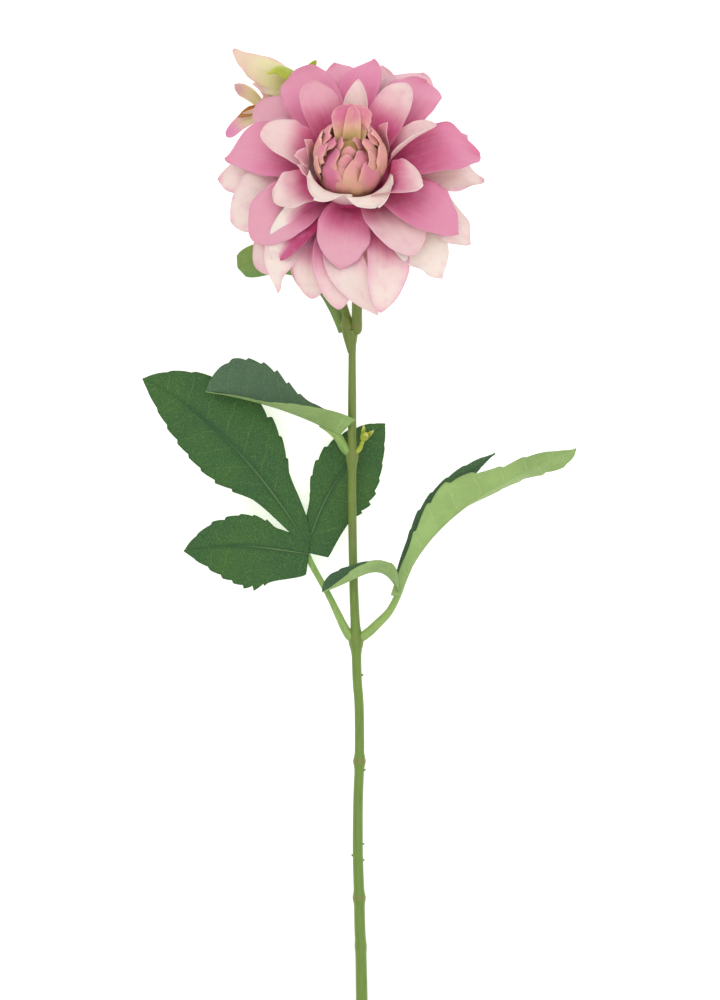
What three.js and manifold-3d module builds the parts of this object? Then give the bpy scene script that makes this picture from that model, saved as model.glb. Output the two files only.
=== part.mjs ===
// A dahlia on a cut stem, laid down on a table with its main bloom facing up.
// Millimetres. +Y runs from the cut end of the stem to the blooms, +Z is up from the table.
import * as THREE from "three";
import { mergeVertices } from "three/addons/utils/BufferGeometryUtils.js";
import Module from "manifold-3d";

const wasm = await Module();
wasm.setup();

// ---------------------------------------------------------------- driving sizes
const petalThickness = 0.7;
const leafThickness = 0.8;
const seatGap = 0.3;              // clearance where one piece sits on another
const tableClearance = 0.36;      // mid-surface of the lowest petals above the table
const mainCentre = [-3.3, 165.0, 45.0];
const mainAxis = [-0.03, 0.42, 0.91];
const sideCentre = [-28.0, 202.0, 10.5];
const sideAxis = [-1.0, 0.1, 0.12];
const centreRadius = 17.0;        // the closed middle of the main bloom
const centreMiddle = 15.0;
const centreHalfHeight = 17.5;
const receptacleTop = 3.0;
const calyxTop = -12.0;
const stemSides = 10;

// ---------------------------------------------------------------- vectors
const add = (a, b) => [a[0] + b[0], a[1] + b[1], a[2] + b[2]];
const sub = (a, b) => [a[0] - b[0], a[1] - b[1], a[2] - b[2]];
const mul = (a, k) => [a[0] * k, a[1] * k, a[2] * k];
const dot = (a, b) => a[0] * b[0] + a[1] * b[1] + a[2] * b[2];
const cross = (a, b) => [
  a[1] * b[2] - a[2] * b[1],
  a[2] * b[0] - a[0] * b[2],
  a[0] * b[1] - a[1] * b[0],
];
const size = (a) => Math.sqrt(dot(a, a));
const unit = (a) => mul(a, 1 / Math.max(size(a), 1e-9));
const mix = (a, b, t) => add(mul(a, 1 - t), mul(b, t));
const radians = (d) => (d * Math.PI) / 180;
const clamp = (x, a, b) => Math.min(Math.max(x, a), b);

function smooth(a, b, x) {
  const t = clamp((x - a) / (b - a), 0, 1);
  return t * t * (3 - 2 * t);
}

// Seeded scatter in -1..1 for repeat i, draw k.
function scatter(i, k) {
  const x = Math.sin(i * 12.9898 + k * 78.233) * 43758.5453;
  return 2 * (x - Math.floor(x)) - 1;
}

// Straight line through (0, v0), (0.5, v1), (1, v2).
function threePoint(values, s) {
  if (s < 0.5) {
    return values[0] + (values[1] - values[0]) * s * 2;
  }
  return values[1] + (values[2] - values[1]) * (s - 0.5) * 2;
}

// ---------------------------------------------------------------- solids
// A closed body from shared vertices; turned inside out when its volume comes out negative.
function closedBody(points, triangles) {
  let volume = 0;
  for (const [a, b, c] of triangles) {
    volume += dot(points[a], cross(points[b], points[c]));
  }
  const flat = [];
  for (const [a, b, c] of triangles) {
    if (volume > 0) {
      flat.push(a, b, c);
    } else {
      flat.push(a, c, b);
    }
  }
  const mesh = new wasm.Mesh({
    numProp: 3,
    vertProperties: new Float32Array(points.flat()),
    triVerts: new Uint32Array(flat),
  });
  return new wasm.Manifold(mesh);
}

// A blade of even thickness around a grid of mid-surface points; both faces split alike.
function blade(grid, thickness) {
  const rows = grid.length;
  const columns = grid[0].length;
  const top = [];
  const bottom = [];
  for (let i = 0; i < rows; i += 1) {
    for (let j = 0; j < columns; j += 1) {
      const along = sub(grid[Math.min(i + 1, rows - 1)][j], grid[Math.max(i - 1, 0)][j]);
      const across = sub(grid[i][Math.min(j + 1, columns - 1)], grid[i][Math.max(j - 1, 0)]);
      const normal = unit(cross(along, across));
      top.push(add(grid[i][j], mul(normal, thickness / 2)));
      bottom.push(sub(grid[i][j], mul(normal, thickness / 2)));
    }
  }
  const count = rows * columns;
  const triangles = [];
  for (let i = 0; i + 1 < rows; i += 1) {
    for (let j = 0; j + 1 < columns; j += 1) {
      const a = i * columns + j;
      const b = a + columns;
      const c = b + 1;
      const d = a + 1;
      // the diagonal leans away from the midrib on both halves
      if (j < (columns - 1) / 2) {
        triangles.push([a, b, d], [b, c, d]);
        triangles.push([a + count, d + count, b + count], [b + count, d + count, c + count]);
      } else {
        triangles.push([a, b, c], [a, c, d]);
        triangles.push([a + count, c + count, b + count], [a + count, d + count, c + count]);
      }
    }
  }
  const rim = [];
  for (let i = 0; i < rows; i += 1) rim.push(i * columns);
  for (let j = 1; j < columns; j += 1) rim.push((rows - 1) * columns + j);
  for (let i = rows - 2; i >= 0; i -= 1) rim.push(i * columns + columns - 1);
  for (let j = columns - 2; j > 0; j -= 1) rim.push(j);
  for (let k = 0; k < rim.length; k += 1) {
    const a = rim[k];
    const b = rim[(k + 1) % rim.length];
    triangles.push([b, a, a + count], [b, a + count, b + count]);
  }
  return closedBody([...top, ...bottom], triangles);
}

// A body turned about a bloom's axis; the profile is [radius, height] from bottom to top.
function turned(bloom, profile, segments) {
  const outline = profile.map(([r, h]) => new THREE.Vector2(r, h));
  const lathe = new THREE.LatheGeometry(outline, segments);
  lathe.deleteAttribute("normal");
  lathe.deleteAttribute("uv");
  const turn = new THREE.Matrix4().makeBasis(
    new THREE.Vector3(...bloom.across),
    new THREE.Vector3(...bloom.axis),
    new THREE.Vector3(...mul(bloom.up, -1)),
  );
  turn.setPosition(...bloom.centre);
  const closed = mergeVertices(lathe.applyMatrix4(turn), 1e-4);
  const position = closed.getAttribute("position");
  const points = [];
  for (let k = 0; k < position.count; k += 1) {
    points.push([position.getX(k), position.getY(k), position.getZ(k)]);
  }
  const corners = closed.index.array;
  const triangles = [];
  for (let k = 0; k < corners.length; k += 3) {
    const [i, j, l] = corners.slice(k, k + 3);
    if (i !== j && j !== l && l !== i) {
      triangles.push([i, j, l]);
    }
  }
  return closedBody(points, triangles);
}

// A smooth curve through knots of any length (Catmull-Rom), `steps` spans between two knots.
function through(knots, steps) {
  const n = knots.length;
  const extend = (a, b) => a.map((v, i) => 2 * v - b[i]);
  const all = [extend(knots[0], knots[1]), ...knots, extend(knots[n - 1], knots[n - 2])];
  const out = [];
  for (let k = 1; k + 2 < all.length; k += 1) {
    for (let j = 0; j < steps; j += 1) {
      const t = j / steps;
      const [a, b, c, d] = [all[k - 1], all[k], all[k + 1], all[k + 2]];
      out.push(b.map((v, i) => 0.5 * (2 * v + (c[i] - a[i]) * t
        + (2 * a[i] - 5 * v + 4 * c[i] - d[i]) * t * t
        + (3 * v - a[i] - 3 * c[i] + d[i]) * t * t * t)));
    }
  }
  out.push(knots[n - 1]);
  return out;
}

// A round rod along [x, y, z, radius] stations, closed by flat ends.
function rod(stations, sides, grow = 0) {
  const points = [];
  const triangles = [];
  const ends = [];
  let side = [0, 0, 1];
  const last = stations.length - 1;
  stations.forEach((station, k) => {
    const before = stations[Math.max(k - 1, 0)];
    const after = stations[Math.min(k + 1, last)];
    const along = unit(sub(after, before));
    const pushed = k === 0 ? -grow : k === last ? grow : 0;
    const middle = add(station, mul(along, pushed));
    if (k === 0 || k === last) ends.push(middle);
    side = unit(sub(side, mul(along, dot(side, along))));
    const other = cross(along, side);
    for (let j = 0; j < sides; j += 1) {
      const angle = (2 * Math.PI * j) / sides;
      const reach = add(mul(side, Math.sin(angle)), mul(other, Math.cos(angle)));
      points.push(add(middle, mul(reach, station[3] + grow)));
    }
  });
  const total = stations.length * sides;
  points.push(...ends);
  for (let j = 0; j < sides; j += 1) {
    const next = (j + 1) % sides;
    triangles.push([total, next, j]);
    triangles.push([total + 1, total - sides + j, total - sides + next]);
    for (let k = 0; k + 1 < stations.length; k += 1) {
      const a = k * sides + j;
      const b = k * sides + next;
      triangles.push([a, b, b + sides], [a, b + sides, a + sides]);
    }
  }
  return closedBody(points, triangles);
}

const fuse = (bodies) => wasm.Manifold.union(bodies);

// The biggest piece of a body, when a cut has left crumbs beside it.
function mainPiece(body) {
  const pieces = body.decompose();
  return pieces.reduce((best, piece) => (piece.volume() > best.volume() ? piece : best));
}

// ---------------------------------------------------------------- petals
function bloomFrame(centre, axis, reference) {
  const along = unit(axis);
  const across = unit(sub(reference, mul(along, dot(along, reference))));
  return { centre, axis: along, across, up: cross(along, across) };
}

const mainBloom = bloomFrame(mainCentre, mainAxis, [1, 0, 0]);
const sideBloom = bloomFrame(sideCentre, sideAxis, [0, 1, 0]);

// Radius of the closed middle of the main bloom at a height above its receptacle.
function middleRadius(h) {
  const x = Math.abs((h - centreMiddle) / centreHalfHeight);
  if (x >= 1) {
    return 0;
  }
  return centreRadius * Math.pow(1 - Math.pow(x, 2.6), 1 / 2.6);
}

const petalDefaults = {
  root: [8, 0],        // [radius, height] of the buried root
  rise: 50,            // degrees from the bloom's axis at the root
  bulge: 0.5,          // share of the span the petal keeps its first direction
  cup: [60, 30, 12],   // half-angle of the hollow across the petal at root, middle and tip
  pinch: 0,            // more hollow right at the tip
  half: 11,            // half width
  neck: 0.35,          // width at the root as a share of the full width
  widest: 0.6,
  blunt: 2.0,          // how squarely the end closes
  point: 0.6,          // above 0.5 the end is pointed
  flick: 0,            // tip bent towards (+) or away from (-) the face
  bow: 0,              // sideways bend
  lean: 0,             // degrees the root stands to one side of the tip
  tilt: 0,             // degrees one edge stands above the other, so neighbours overlap like tiles
  twist: 0,            // degrees more tilt at the tip
  ruffle: 0,
  sway: 0,
  seed: 0,
};

// Mid-surface of one petal as rows along it and columns across it.
// The midrib is a quadratic Bezier from the root to [reach, height] at the azimuth; each
// cross-section is a circular arc; the edge waves by `ruffle` and the whole blade by `sway`.
function petalGrid(bloom, azimuth, reach, height, options, rows, columns) {
  const p = { ...petalDefaults, ...options };
  const phi = radians(azimuth);
  const rootPhi = phi + radians(p.lean);
  const out = add(mul(bloom.across, Math.cos(phi)), mul(bloom.up, Math.sin(phi)));
  const tangent = add(mul(bloom.across, -Math.sin(phi)), mul(bloom.up, Math.cos(phi)));
  const rootOut = add(mul(bloom.across, Math.cos(rootPhi)), mul(bloom.up, Math.sin(rootPhi)));
  const start = add(bloom.centre, add(mul(rootOut, p.root[0]), mul(bloom.axis, p.root[1])));
  const end = add(bloom.centre, add(mul(out, reach), mul(bloom.axis, height)));
  const span = size(sub(end, start));
  const rise = radians(p.rise);
  const first = add(mul(out, Math.sin(rise)), mul(bloom.axis, Math.cos(rise)));
  const middle = add(start, mul(first, span * p.bulge));
  const grid = [];
  let sign = 0;
  for (let i = 0; i < rows; i += 1) {
    const s = 1 - Math.pow(1 - i / (rows - 1), 1.5);
    let rib = add(mul(start, (1 - s) * (1 - s)), add(mul(middle, 2 * s * (1 - s)), mul(end, s * s)));
    const along = unit(add(mul(sub(middle, start), 1 - s), mul(sub(end, middle), s)));
    let normal = unit(cross(along, tangent));
    if (sign === 0) {
      const facing = dot(normal, bloom.axis) * Math.sin(rise) - dot(normal, out) * Math.cos(rise);
      sign = facing < 0 ? -1 : 1;
    }
    normal = mul(normal, sign);
    const beside = cross(along, normal);
    rib = add(rib, mul(beside, p.bow * Math.sin(Math.PI * s)));
    rib = add(rib, mul(normal, p.flick * Math.pow(smooth(0.6, 1, s), 2)));
    const turn = radians(p.tilt + p.twist * s);
    const side = add(mul(beside, Math.cos(turn)), mul(normal, Math.sin(turn)));
    const face = sub(mul(normal, Math.cos(turn)), mul(beside, Math.sin(turn)));
    const grow = p.neck + (1 - p.neck) * Math.pow(Math.sin((Math.PI / 2) * Math.min(s / p.widest, 1)), 1.2);
    const beyond = clamp((s - p.widest) / (1 - p.widest), 0, 1);
    const fade = Math.pow(Math.max(1 - Math.pow(beyond, p.blunt), 0), p.point);
    const width = p.half * grow * Math.max(fade, 0.05);
    const hollow = Math.max(radians(threePoint(p.cup, s) + p.pinch * smooth(0.75, 1, s)), 0.001);
    const row = [];
    for (let j = 0; j < columns; j += 1) {
      const q = -1 + (2 * j) / (columns - 1);
      const sideways = (Math.sin(hollow * q) / hollow) * width;
      let lift = ((1 - Math.cos(hollow * q)) / hollow) * width;
      lift += p.sway * p.half * smooth(0.15, 0.5, s)
        * Math.sin(2.2 * Math.PI * s + 1.3 * q + scatter(p.seed, 2) * Math.PI);
      lift += p.ruffle * p.half * Math.pow(Math.abs(q), 2.2) * smooth(0.2, 0.6, s)
        * Math.sin(2 * Math.PI * (1.6 * s + 0.25 * Math.sign(q)) + scatter(p.seed, 1) * Math.PI);
      row.push(add(rib, add(mul(side, sideways), mul(face, lift))));
    }
    grid.push(row);
  }
  return grid;
}

// Lowest petals lie softly on the table instead of passing through it.
function restOnTable(point) {
  const z = point[2] - tableClearance;
  return [point[0], point[1], tableClearance + 0.5 * (z + Math.sqrt(z * z + 1.5))];
}

// Moves a point of a petal off the closed middle (side = 1) or into it (side = -1).
function clearMiddle(point, side, margin) {
  const from = sub(point, mainBloom.centre);
  const h = dot(from, mainBloom.axis);
  const flat = sub(from, mul(mainBloom.axis, h));
  const r = Math.max(size(flat), 1e-6);
  const wall = side > 0
    ? middleRadius(h) * smooth(-1, 2.6, h) + margin
    : Math.max(middleRadius(h) - margin, 0.5);
  const x = side * (r - wall);
  const moved = wall + side * 0.5 * (x + Math.sqrt(x * x + 1));
  if (side > 0 && h < -1) {
    return point;
  }
  return add(mainBloom.centre, add(mul(mainBloom.axis, h), mul(flat, moved / r)));
}

// One ring of petals: shared options, then [azimuth, reach, height, half width, own options].
function ring(bloom, shared, petals, seedStart, rows, columns, shape, grow = 0) {
  return petals.map(([azimuth, reach, height, half, own], k) => {
    const options = { ...shared, half, seed: seedStart + k, ...own };
    const grid = petalGrid(bloom, azimuth, reach, height, options, rows, columns);
    return blade(grid.map((row) => row.map((point) => restOnTable(shape(point)))), petalThickness + 2 * grow);
  });
}

const outerRing = {
  shared: { root: [12, -5], rise: 68, cup: [45, 14, 4], point: 0.75, ruffle: 0.06, flick: -3, tilt: 12 },
  petals: [
    [3, 60, -4, 10, { flick: -7, pinch: 50, bow: 2 }],
    [-27, 60, -8, 11, {}],
    [-47, 59, -8, 12, { ruffle: 0.12 }],
    [-78.5, 64, -6, 9.5, { point: 0.8, cup: [45, 20, 12], bow: -6, lean: 14 }],
    [-79.5, 62.5, -12, 9, { bow: 7, lean: -8 }],
    [-95.5, 60, -9, 9.5, { point: 0.6, bow: 4 }],
    [-109, 56, -12, 9.5, { point: 0.55, bow: 5 }],
    [-123.5, 62, -6, 10, { flick: -8, pinch: 40, bow: 3, point: 0.9 }],
    [-135, 55, -10, 10, { point: 0.6 }],
    [-155, 55, -6, 14, { point: 0.7, bow: 6 }],
    [174, 60, -10, 11, {}],
    [148, 53, -4, 11, { point: 0.55 }],
    [136, 59, -3, 10, { point: 0.45 }],
    [96, 63.5, -5, 10, { point: 0.6 }],
    [77.5, 62.5, -4, 8, { point: 0.9, bow: 6 }],
    [57, 62, -3, 13.5, { point: 0.5 }],
    [27, 57, -10, 11, {}],
  ],
};

const middleRing = {
  shared: {
    root: [12, -2.5], rise: 48, cup: [60, 26, 12], point: 0.6, ruffle: 0.06, flick: -4, blunt: 2.3, tilt: 12,
  },
  petals: [
    [12.5, 57, 5, 14.5, { flick: -6, pinch: 30, lean: -8 }],
    [-31, 55.5, 2, 13, { point: 0.8 }],
    [-54.5, 49, 6, 13, { point: 0.75 }],
    [-96, 45.5, 2, 12, { point: 0.8 }],
    [-132, 52, -1, 9.5, { ruffle: 0.2, cup: [60, 50, 30] }],
    [-146, 53, 2, 13, { point: 0.65 }],
    [166, 57, 3, 12.5, { flick: -5 }],
    [115.5, 59, 6, 12.5, { point: 0.5 }],
    [80, 58.5, 8, 9.5, { point: 0.85, bow: -3 }],
    [49, 57, 7, 13, { point: 0.5 }],
  ],
};

const innerRing = {
  shared: {
    root: [13, -1.5], rise: 12, cup: [75, 50, 30], point: 0.5, widest: 0.62, ruffle: 0.04,
    sway: 0.03, flick: -2, blunt: 2.4, neck: 0.5,
  },
  petals: [
    [-22, 32, 20, 11.5, { cup: [70, 62, 50], flick: -4, lean: -26, rise: 18 }],
    [23, 40, 19, 7.5, { cup: [80, 75, 60], point: 0.6, rise: 24, lean: -6, tilt: 30 }],
    [55.5, 42.5, 21, 9, { cup: [80, 45, 25], rise: 20, lean: -14 }],
    [83, 32.5, 28, 6.5, { point: 0.8, cup: [80, 60, 50], rise: 6 }],
    [117, 39.5, 22, 9, { cup: [70, 45, 30], rise: 16 }],
    [160, 40, 19, 9.8, { cup: [75, 40, 30], rise: 22 }],
    [-152, 37, 13, 10.5, { cup: [80, 60, 45], rise: 20, lean: 10 }],
    [-126, 21.5, 22, 10.5, { cup: [60, 50, 30], flick: -5, blunt: 3, rise: 6 }],
    [-64, 23.5, 18, 12, { cup: [60, 55, 30], flick: -5, blunt: 3, rise: 6, lean: 14 }],
  ],
};

// Small loose petals that stand round the closed middle.
const looseRing = {
  shared: { ...innerRing.shared, point: 1, cup: [60, 50, 40], rise: 14, flick: 0 },
  petals: [
    [178, 23, 20, 3.8, {}],
    [-160, 21.5, 17.5, 3.6, {}],
    [33, 19.5, 28, 4, { rise: 6, point: 0.9 }],
  ],
};

// The closed middle: an outer circle bent in over it, then smaller ones further in.
const heartRing = {
  shared: {
    root: [13.5, 4], rise: 20, bulge: 0.75, cup: [45, 50, 50],
    point: 0.55, widest: 0.6, neck: 0.7, blunt: 2.4, ruffle: 0.05, sway: 0.03,
  },
  petals: [
    [-136, 9.5, 24, 8, { twist: 14, lean: 6 }],
    [-101, 6.5, 26.5, 5.5, { twist: -8 }],
    [-77, 7, 27, 6, { twist: -22, point: 0.8 }],
    [-47, 10, 25.5, 7.5, { twist: -10 }],
    [-8, 13, 27, 8, { twist: 8 }],
    [24, 13, 29.5, 7, { point: 0.9, rise: 8, flick: -1.5 }],
    [52, 11, 28, 6.5, { twist: 12, point: 0.8 }],
    [126, 12.5, 27.5, 7.5, { twist: -12 }],
    [160, 12.5, 27, 7.5, { twist: -10, flick: -1 }],
    [-168, 13, 23, 6, { twist: 16, flick: -1, point: 0.8 }],
    [-150, 5.5, 29, 6.5, { root: [9.5, 8], twist: 24 }],
    [168, 6, 30, 6, { root: [9.5, 8], twist: 10 }],
    [-96, 5, 28.5, 5.5, { root: [9, 8], twist: -14 }],
    [-45, 5.5, 29, 6, { root: [9, 8], twist: -18 }],
    [5, 6, 30, 6, { root: [9, 8], twist: -15 }],
    [-178, 9.5, 28.5, 6, { root: [12, 7], twist: 10 }],
    [148, 9.5, 29.5, 6, { root: [12, 7], twist: -8 }],
    [28, 9.5, 29.5, 6, { root: [12, 7], twist: 10, point: 0.8 }],
    [-22, 9, 29, 6, { root: [12, 7], twist: -8 }],
    [20, 2.5, 29.5, 4.5, { root: [5, 12] }],
    [165, 2.5, 30, 4.5, { root: [5, 12] }],
    [-90, 1.5, 29.5, 4.5, { root: [5, 12] }],
  ],
};

// Two petals that stand up from the back of the closed middle.
const tongueRing = {
  shared: {
    root: [5, 23], rise: 55, bulge: 0.5, cup: [55, 45, 35], point: 0.42, widest: 0.6, neck: 0.9, blunt: 3,
  },
  petals: [
    [93, 18.5, 31, 6.8, {}],
    [70, 19, 30, 6.3, { tilt: -14 }],
  ],
};

const backRing = {
  shared: { root: [9, -8], rise: 84, cup: [40, 12, 4], point: 0.7, ruffle: 0.06, flick: -2, tilt: 12 },
  petals: [
    [44, 52, -33, 11, {}],
    [68, 50, -30, 11, {}],
    [92, 48, -27, 10, {}],
    [16, 50, -25, 11.5, {}],
    [-10, 49, -22, 11.5, {}],
    [-36, 49, -22, 11.5, {}],
    [-60, 49, -22, 11.5, {}],
    [-88, 49, -22, 12, {}],
    [-117, 49, -21, 12, {}],
    [-146, 49, -19, 12, {}],
    [-174, 47, -17, 11, {}],
  ],
};

const sideRing = {
  shared: {
    root: [3, 0], rise: 40, cup: [80, 50, 25], point: 0.8, widest: 0.55, ruffle: 0.05,
    flick: -2, neck: 0.5,
  },
  petals: [
    // a broad petal that lifts off the side, then three narrow ones and a dry brown one
    [-38, 18, 31, 8, { cup: [40, 25, 30], point: 0.6, widest: 0.3, neck: 0.9, tilt: 42, bow: -2 }],
    [-80, 12.5, 30, 3.8, { root: [7, 10], lean: -95, point: 0.7, rise: 20, bow: -5 }],
    [-66, 8, 20.5, 3.2, { point: 0.6, rise: 25, tilt: -25 }],
    [175, 17.5, 30, 3.4, { point: 0.4, blunt: 4, rise: 10, tilt: 75, bow: -8 }],
    [-146, 11.5, 26, 3.2, { point: 0.9, rise: 20, tilt: 75, widest: 0.75 }],
    // the bud's own short petals
    [-14, 12.5, 10, 7, { point: 0.45, neck: 0.8, tilt: -45 }],
    [62, 9, 16, 6, {}],
    [98, 11, 15, 6.5, {}],
    [140, 10, 17, 6, {}],
    [-150, 5, 17, 5, { rise: 25 }],
  ],
};

const asDrawn = (point) => point;
const offMiddle = (point) => clearMiddle(point, 1, 0.9);
const inMiddle = (point) => clearMiddle(point, -1, 0.6);

// ---------------------------------------------------------------- main bloom
function mainPetals() {
  const receptacle = turned(mainBloom, [
    [0, calyxTop], [6, calyxTop], [11, -9.5], [14.5, -5.5], [16, -1],
    [16.3, receptacleTop], [0, receptacleTop],
  ], 20);
  const bodies = [
    receptacle,
    ...ring(mainBloom, outerRing.shared, outerRing.petals, 35, 4, 4, asDrawn),
    ...ring(mainBloom, middleRing.shared, middleRing.petals, 42, 5, 4, asDrawn),
    ...ring(mainBloom, innerRing.shared, innerRing.petals, 60, 5, 4, offMiddle),
    ...ring(mainBloom, looseRing.shared, looseRing.petals, 69, 4, 3, offMiddle),
    ...ring(mainBloom, backRing.shared, backRing.petals, 28, 4, 3, asDrawn),
  ];
  const pocket = turned(mainBloom, middleProfile(seatGap, receptacleTop), 24);
  return mainPiece(fuse(bodies).subtract(pocket).simplify(0.12));
}

// Outline of the closed middle from its seat to its top.
function middleProfile(grow, bottom) {
  const profile = [[0, bottom], [middleRadius(bottom) + grow, bottom]];
  for (const h of [8, 13, 18, 23, 27, 30, 31.8]) {
    profile.push([middleRadius(h) + grow, h]);
  }
  profile.push([0, centreMiddle + centreHalfHeight + grow]);
  return profile;
}

function mainCentrePiece() {
  const bottom = receptacleTop + seatGap;
  const core = turned(mainBloom, [
    [0, bottom], [13, bottom], [14, 8], [12, 15], [9, 20], [5, 23], [0, 24],
  ], 14);
  const petals = ring(mainBloom, heartRing.shared, heartRing.petals, 80, 3, 3, inMiddle);
  const room = turned(mainBloom, middleProfile(0, bottom), 20);
  const middle = fuse([core, ...petals]).intersect(room).simplify(0.3);
  const tongues = ring(mainBloom, tongueRing.shared, tongueRing.petals, 110, 4, 3, asDrawn);
  return mainPiece(fuse([middle, ...tongues]).simplify(0.15));
}

function mainCalyx() {
  const top = calyxTop - seatGap;
  const cup = turned(mainBloom, [[0, top - 3], [3.4, top - 3], [6, top - 1.6], [6.6, top], [0, top]], 12);
  const sepals = [];
  for (let k = 0; k < 7; k += 1) {
    const azimuth = (360 / 7) * k + 12 + 8 * scatter(k, 21);
    sepals.push([azimuth, 21 + 2 * scatter(k, 22), top - 4.5 + scatter(k, 23), 3.6, {}]);
  }
  const shared = { root: [3.5, top - 1.2], rise: 88, cup: [20, 20, 10], point: 0.7, widest: 0.5, neck: 0.7 };
  return fuse([cup, ...ring(mainBloom, shared, sepals, 0, 4, 3, asDrawn)]).simplify(0.1);
}

// ---------------------------------------------------------------- side bloom
function sideCore(grow) {
  return turned(sideBloom, [
    [0, -3 - grow], [3.2 + grow, -3 - grow], [4.8 + grow, -0.5], [4.8 + grow, 3],
    [3, 6 + grow], [0, 7 + grow],
  ], 10);
}

function sidePetals() {
  const core = sideCore(0);
  const petals = ring(sideBloom, sideRing.shared, sideRing.petals, 28, 4, 4, asDrawn);
  return mainPiece(fuse([core, ...petals]).simplify(0.1));
}

function sideCalyx() {
  const top = -3 - seatGap;
  const cup = turned(sideBloom, [[0, top - 3], [2, top - 3], [3.6, top - 1.4], [3.9, top], [0, top]], 10);
  const shared = {
    root: [2.6, top - 1], rise: 80, cup: [50, 40, 30], point: 0.9, widest: 0.45, neck: 0.6, bulge: 0.4,
  };
  const sepals = [
    [-50, 18, 15, 4.8, { widest: 0.5, rise: 80, bulge: 0.6, neck: 0.4, cup: [15, 25, 25] }],
    [20, 15, -3, 2.8, {}],
    [-12, 18.5, -7, 3.2, { point: 0.5, tilt: 60 }],
    [170, 13, 9, 2.6, {}],
    [-120, 12, 2, 2.6, {}],
  ];
  const body = fuse([cup, ...ring(sideBloom, shared, sepals, 0, 5, 3, asDrawn)]);
  const petals = ring(sideBloom, sideRing.shared, sideRing.petals, 28, 4, 4, asDrawn, seatGap * 1.8);
  return mainPiece(body.subtract(fuse([sideCore(seatGap), ...petals])).simplify(0.1));
}

// ---------------------------------------------------------------- stem
// Stations are [x, y, z, radius]; joints are [y, extra radius, half length].
const stemKnots = [
  [1.6, -222, 2.6, 2.6], [1.5, -208, 2.9, 2.6], [1.4, -194, 3.4, 2.6], [1.0, -174, 4.4, 2.5],
  [0.6, -165, 4.9, 2.45], [0.3, -151.3, 5.6, 2.4], [-0.3, -131, 6.7, 2.3], [-0.2, -108.7, 8.0, 2.2],
  [0.4, -90.6, 9.0, 2.15], [0.3, -67.3, 10.3, 2.1], [-0.6, -54, 11.1, 2.1], [-1.1, -36.5, 12.1, 2.1],
  [-1.9, -19, 13.0, 2.0], [-2.4, -1.3, 13.9, 1.9], [-2.8, 25, 15.2, 1.85], [-2.8, 47, 16.2, 1.85],
  [-2.8, 69, 17.3, 1.85], [-2.8, 90.2, 18.4, 1.8], [-2.7, 100, 19.2, 2.2],
];
const stemJoints = [
  [-173, 0.25, 2], [-151.3, 0.6, 2], [-90.6, 0.75, 2.2], [-37, 1.3, 4], [44.5, 1.0, 4], [99, 0.9, 6],
];
const neckKnots = [
  [-2.7, 99, 19.1, 2.3], [-1.5, 107, 20.4, 2.6], [-0.6, 115, 21.4, 2.5], [-0.6, 126.3, 22.3, 2.4],
  [-1.6, 140, 21.6, 2.4], [-2.3, 151, 22.4, 2.4], [-2.67, 156.2, 25.9, 2.5], [-2.75, 157.3, 28.4, 2.7],
  [-2.83, 158.4, 30.75, 2.9],
];
const sideKnots = [
  [-2.8, 99.5, 19.0, 1.7], [-5.9, 108.7, 17.0, 1.7], [-9.0, 119.7, 14.5, 1.6], [-13.4, 139.5, 11.5, 1.5],
  [-16.9, 161.5, 9.5, 1.5], [-18.2, 183.5, 8.4, 1.5], [-16.9, 195.5, 8.7, 1.5], [-17.4, 200.2, 9.2, 1.6],
  [-19.4, 201.14, 9.47, 1.7], [-21.35, 201.34, 9.7, 1.8],
];

function stemStations() {
  const out = [];
  for (const [x, y, z, radius] of stemKnots) {
    let extra = 0;
    for (const [at, more, reach] of stemJoints) {
      extra += more * Math.exp(-Math.pow((y - at) / reach, 2));
    }
    out.push([x, y, z, radius + extra]);
  }
  return out;
}

// The joints need stations of their own, close together.
function withJoints(stations) {
  const out = [...stations];
  const level = (y) => {
    const k = stations.findIndex((s) => s[1] > y);
    const [a, b] = [stations[k - 1], stations[k]];
    const t = (y - a[1]) / (b[1] - a[1]);
    return a.map((v, i) => v + (b[i] - v) * t);
  };
  for (const [at, more, reach] of stemJoints.slice(0, 5)) {
    for (const offset of [-1.5, -0.6, 0, 0.6, 1.5]) {
      const station = level(at + offset * reach);
      const k = through(stemKnots, 24).reduce((best, s) => (
        Math.abs(s[1] - station[1]) < Math.abs(best[1] - station[1]) ? s : best));
      station[3] = k[3] + more * Math.exp(-offset * offset);
      out.push(station);
    }
  }
  out.sort((a, b) => a[1] - b[1]);
  return out.filter((s, k) => k === 0 || s[1] - out[k - 1][1] > 0.8);
}

function stemBody(grow = 0) {
  return fuse([
    rod(withJoints(stemStations()), stemSides, grow),
    rod(through(neckKnots, 2), stemSides, grow),
    rod(through(sideKnots, 2), 8, grow),
  ]);
}

// ---------------------------------------------------------------- leaves
function bezier(points, s) {
  const [a, b, c, d] = points;
  const r = 1 - s;
  const nearRoot = add(mul(a, r * r * r), mul(b, 3 * s * r * r));
  const nearTip = add(mul(c, 3 * s * s * r), mul(d, s * s * s));
  const at = add(nearRoot, nearTip);
  const along = add(add(mul(sub(b, a), r * r), mul(sub(c, b), 2 * s * r)), mul(sub(d, c), s * s));
  return [at, unit(along)];
}

const leafletDefaults = {
  half: [14, 14],      // width of the left and the right half, seen from the upper face
  fold: [10, 10],      // degrees each half rises from the midrib
  foldTip: null,       // the same at the tip, where it differs
  curl: [-20, -20],    // degrees more at the margin
  unfold: [0, 1],      // where along the leaflet the fold changes
  ear: 0,              // how far the left half's root corner reaches back
  teeth: 8,
  tooth: 0.1,
  widest: [0.42, 0.42],
  neck: [0.15, 0.15],
  full: 1,
  tip: [0.9, 0.9],
  slant: 0.22,
};

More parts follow.
